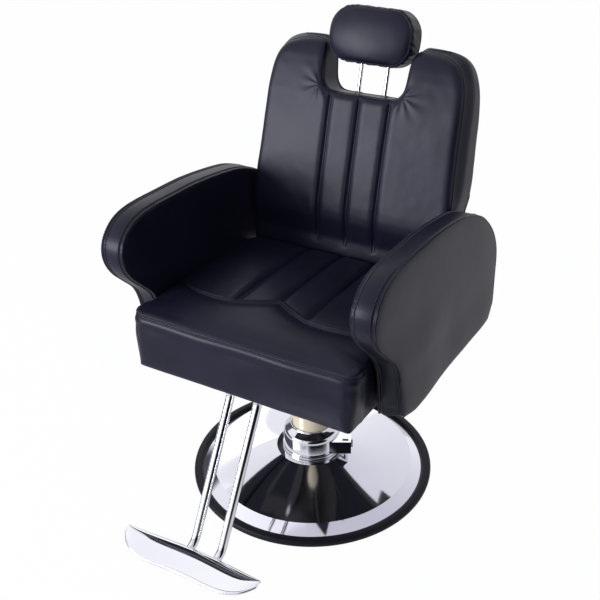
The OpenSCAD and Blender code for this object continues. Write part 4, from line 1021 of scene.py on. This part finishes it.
TUBE_Y, TUBE_SLOPE, TUBE_R, TUBE_X = -0.278, 27.5, 0.0095, 0.0335
FOOT_DROP = 0.307
FOOT_Y, FOOT_L, FOOT_W = -0.457, 0.071, 0.326
TUBE_TIP = FOOT_Y - FOOT_L + 0.025


def tube_path():
    """Centre line of a footrest tube in y and z: down, forward along the slope, then level."""
    top_r, foot_r, slope = 0.045, 0.040, math.radians(TUBE_SLOPE)
    top = arc2((TUBE_Y - top_r, -0.002), top_r, 0, -TUBE_SLOPE)
    end_z = -FOOT_DROP + foot_r * (1 - math.sin(slope))
    end_y = top[-1][0] - (top[-1][1] - end_z) * math.tan(slope)
    centre = end_y - foot_r * math.cos(slope), end_z + foot_r * math.sin(slope)
    foot = arc2(centre, foot_r, -TUBE_SLOPE, -90)
    return [(TUBE_Y, 0.019)] + top + foot + [(TUBE_TIP, -FOOT_DROP)]


def make_tubes():
    for side, x in (("left", TUBE_X), ("right", -TUBE_X)):
        path = resample([(x, y, z) for y, z in tube_path()], PATH_STEP)
        obj = tube("footrest_tube_bright_" + side, path, TUBE_R, 40)
        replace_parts(finish_metal(obj, CHROME, "seat", SEAT), "footrest_tube_" + side)


def make_foot_plate():
    """The wing-shaped tread: a cambered sheet with raised tips and a turned-down front lip."""
    rise, lip, crown, curl, sweep, bulge, thick = 0.003, 0.005, 0.015, 0.017, 0.021, 0.005, 0.004
    base = -FOOT_DROP + TUBE_R + thick + 0.0001
    nu, nv, flat = 120, 40, 0.75
    verts = []
    for side in (0, 1):
        for i in range(nu + 1):
            u = 2 * i / nu - 1
            rear = FOOT_Y - sweep * abs(u) ** 2.4
            front = FOOT_Y - FOOT_L - bulge * math.sin(math.pi * min(abs(u) / 1.24, 1)) ** 2 \
                + (FOOT_L - sweep - 0.018) * abs(u) ** 7
            for j in range(nv + 1):
                v = j / nv
                t = min(v / flat, 1) ** 1.6
                a = math.radians(90 * max(v - flat, 0) / (1 - flat))
                y = rear + (front + lip - rear) * t - lip * math.sin(a)
                z = base + rise * t + crown * math.sin(math.pi * t ** 0.55) * (1 - 0.6 * u ** 4)
                z += curl * abs(u) ** 3.2 - lip * (1 - math.cos(a))
                verts.append((u * FOOT_W / 2, y + side * thick * math.sin(a), z - side * thick * math.cos(a)))
    w = nv + 1
    far = (nu + 1) * w
    faces = [(k, k + w, k + w + 1, k + 1) for i in range(nu) for k in range(i * w, i * w + nv)]
    faces += [tuple(far + k for k in f[::-1]) for f in faces]
    faces += [(i * w, far + i * w, far + (i + 1) * w, (i + 1) * w) for i in range(nu)]
    faces += [(i * w + nv, (i + 1) * w + nv, far + (i + 1) * w + nv, far + i * w + nv) for i in range(nu)]
    faces += [(j, j + 1, far + j + 1, far + j) for j in range(nv)]
    faces += [(nu * w + j, far + nu * w + j, far + nu * w + j + 1, nu * w + j + 1) for j in range(nv)]
    obj = mesh_object("foot_tread", verts, faces)
    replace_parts(finish_metal(obj, CHROME, "seat", SEAT), "foot_plate")


# ---------- Studio ----------

CAMERA_AT = (0.94126, -1.62504, 1.57026)
CAMERA_RIGHT = (0.86961, 0.49350, -0.01538)
CAMERA_UP = (-0.23392, 0.43923, 0.86739)
CAMERA_BACK = (0.43481, -0.75069, 0.49740)


def make_camera():
    data = bpy.data.cameras.new("camera")
    data.sensor_width = 36.0
    data.lens = 57.97
    data.shift_x = -0.01584
    data.shift_y = -0.01384
    cam = bpy.data.objects.new("camera", data)
    m = Matrix((CAMERA_RIGHT, CAMERA_UP, CAMERA_BACK)).transposed().to_4x4()
    m.translation = CAMERA_AT
    cam.matrix_world = m
    bpy.context.scene.collection.objects.link(cam)
    bpy.context.scene.camera = cam


def seen_directly(tree):
    """1 for camera, glossy and transmission rays, 0 for the rays that light surfaces."""
    path = tree.nodes.new("ShaderNodeLightPath")
    total = path.outputs["Is Camera Ray"]
    for ray in ("Is Glossy Ray", "Is Transmission Ray"):
        total = calc(tree, "MAXIMUM", total, path.outputs[ray])
    return total


def make_world():
    world = bpy.data.worlds.new("studio")
    bpy.context.scene.world = world
    world.use_nodes = True
    tree = world.node_tree
    tree.nodes.clear()
    out = tree.nodes.new("ShaderNodeOutputWorld")
    lit = tree.nodes.new("ShaderNodeBackground")
    lit.inputs["Color"].default_value = (0.87, 0.88, 1.0, 1)
    lit.inputs["Strength"].default_value = 0.55
    # White on the left and at the horizon, greyer above and to the right
    shown = tree.nodes.new("ShaderNodeBackground")
    shown.inputs["Strength"].default_value = 1.0
    slope = tree.nodes.new("ShaderNodeVectorMath")
    slope.operation = "DOT_PRODUCT"
    slope.inputs[1].default_value = (0.45, 0.0, 0.75)
    tree.links.new(tree.nodes.new("ShaderNodeTexCoord").outputs["Generated"], slope.inputs[0])
    tree.links.new(ramp(tree, slope.outputs["Value"], (0.96, 0.96, 1), (0.62, 0.61, 0.70), (0.12, 0.85)),
                   shown.inputs["Color"])
    end_in_mix(tree, out, seen_directly(tree), lit, shown)


FLOOR_SHARES = (("Is Camera Ray", 0.96), ("Is Glossy Ray", 0.5), ("Is Transmission Ray", 0.96))


def make_floor():
    """The floor shows white in the shares above, over a grey that takes the chair's shadow."""
    size = 14.0
    floor = mesh_object("floor", [(-size, -size, 0), (size, -size, 0), (size, size, 0), (-size, size, 0)],
                        [(0, 1, 2, 3)])
    floor.location.z = -0.0005
    mat = bpy.data.materials.new("floor")
    mat.use_nodes = True
    tree = mat.node_tree
    tree.nodes.clear()
    out = tree.nodes.new("ShaderNodeOutputMaterial")
    base = tree.nodes.new("ShaderNodeBsdfDiffuse")
    base.inputs["Color"].default_value = (0.50, 0.50, 0.53, 1)
    glow = tree.nodes.new("ShaderNodeEmission")
    glow.inputs["Strength"].default_value = 1.02
    path = tree.nodes.new("ShaderNodeLightPath")
    share = 0.0
    for ray, part in FLOOR_SHARES:
        share = calc(tree, "MULTIPLY_ADD", path.outputs[ray], part, share)
    end_in_mix(tree, out, share, base, glow)
    floor.data.materials.append(mat)


def softbox(name, place, aim, width, height, power, colour):
    data = bpy.data.lights.new(name, "AREA")
    data.shape = "RECTANGLE"
    data.size, data.size_y = width, height
    data.energy = power
    data.color = colour
    lamp = bpy.data.objects.new(name, data)
    lamp.location = place
    lamp.rotation_euler = (Vector(place) - Vector(aim)).to_track_quat("Z", "Y").to_euler()
    bpy.context.scene.collection.objects.link(lamp)


def flag(name, a, b, top, colour):
    """A soft-edged dark card from a to b, which only reflections show, as studios use for bright metal."""
    a, b = Vector(a), Vector(b)
    card = mesh_object(name, [(-1, 0, -1), (1, 0, -1), (1, 0, 1), (-1, 0, 1)], [(0, 1, 2, 3)])
    card.location = (*((a + b) / 2), top / 2)
    card.rotation_euler = (0, 0, math.atan2((b - a).y, (b - a).x))
    card.scale = ((b - a).length / 2, 1, top / 2)
    mat, tree, shader = blank(name)
    shader.inputs["Base Color"].default_value = (*colour, 1)
    shader.inputs["Roughness"].default_value = 0.9
    shader.inputs["Specular IOR Level"].default_value = 0.0
    parts = tree.nodes.new("ShaderNodeSeparateXYZ")
    tree.links.new(coords(tree), parts.inputs[0])
    powers = [calc(tree, "POWER", parts.outputs[axis], 4) for axis in "XZ"]
    fade = ramp(tree, calc(tree, "ADD", *powers), (0, 0, 0), (1, 1, 1), (0.2, 0.95))
    out = next(n for n in tree.nodes if n.type == "OUTPUT_MATERIAL")
    end_in_mix(tree, out, fade, shader, tree.nodes.new("ShaderNodeBsdfTransparent"))
    card.data.materials.append(mat)
    card.visible_camera = False
    card.visible_diffuse = False
    card.visible_shadow = False


def make_lights():
    softbox("key", (-2.0, -3.0, 1.2), (0, 0, 0.75), 1.7, 1.5, 112, (0.86, 0.87, 1.0))
    softbox("top", (-1.1, -0.3, 2.8), (0, 0, 0.5), 2.6, 2.6, 6, (0.92, 0.93, 1.0))
    softbox("rim", (-1.7, 2.4, 2.0), (0, 0, 0.6), 2.2, 2.0, 5, (0.92, 0.93, 1.0))
    flag("flag_front", (0.30, -1.72), (1.55, 0.05), 1.45, (0.010, 0.010, 0.014))
    flag("flag_left", (-1.3, -1.3), (-1.3, 0.7), 0.7, (0.20, 0.20, 0.23))


def main():
    make_camera()
    make_world()
    make_floor()
    make_lights()
    paint_cad()
    make_seat()
    make_arm(1)
    make_arm(-1)
    make_back()
    make_headrest()
    make_dish()
    make_shroud()
    make_hub()
    make_tubes()
    make_foot_plate()
    scene = bpy.context.scene
    scene.view_settings.view_transform = "Standard"


main()
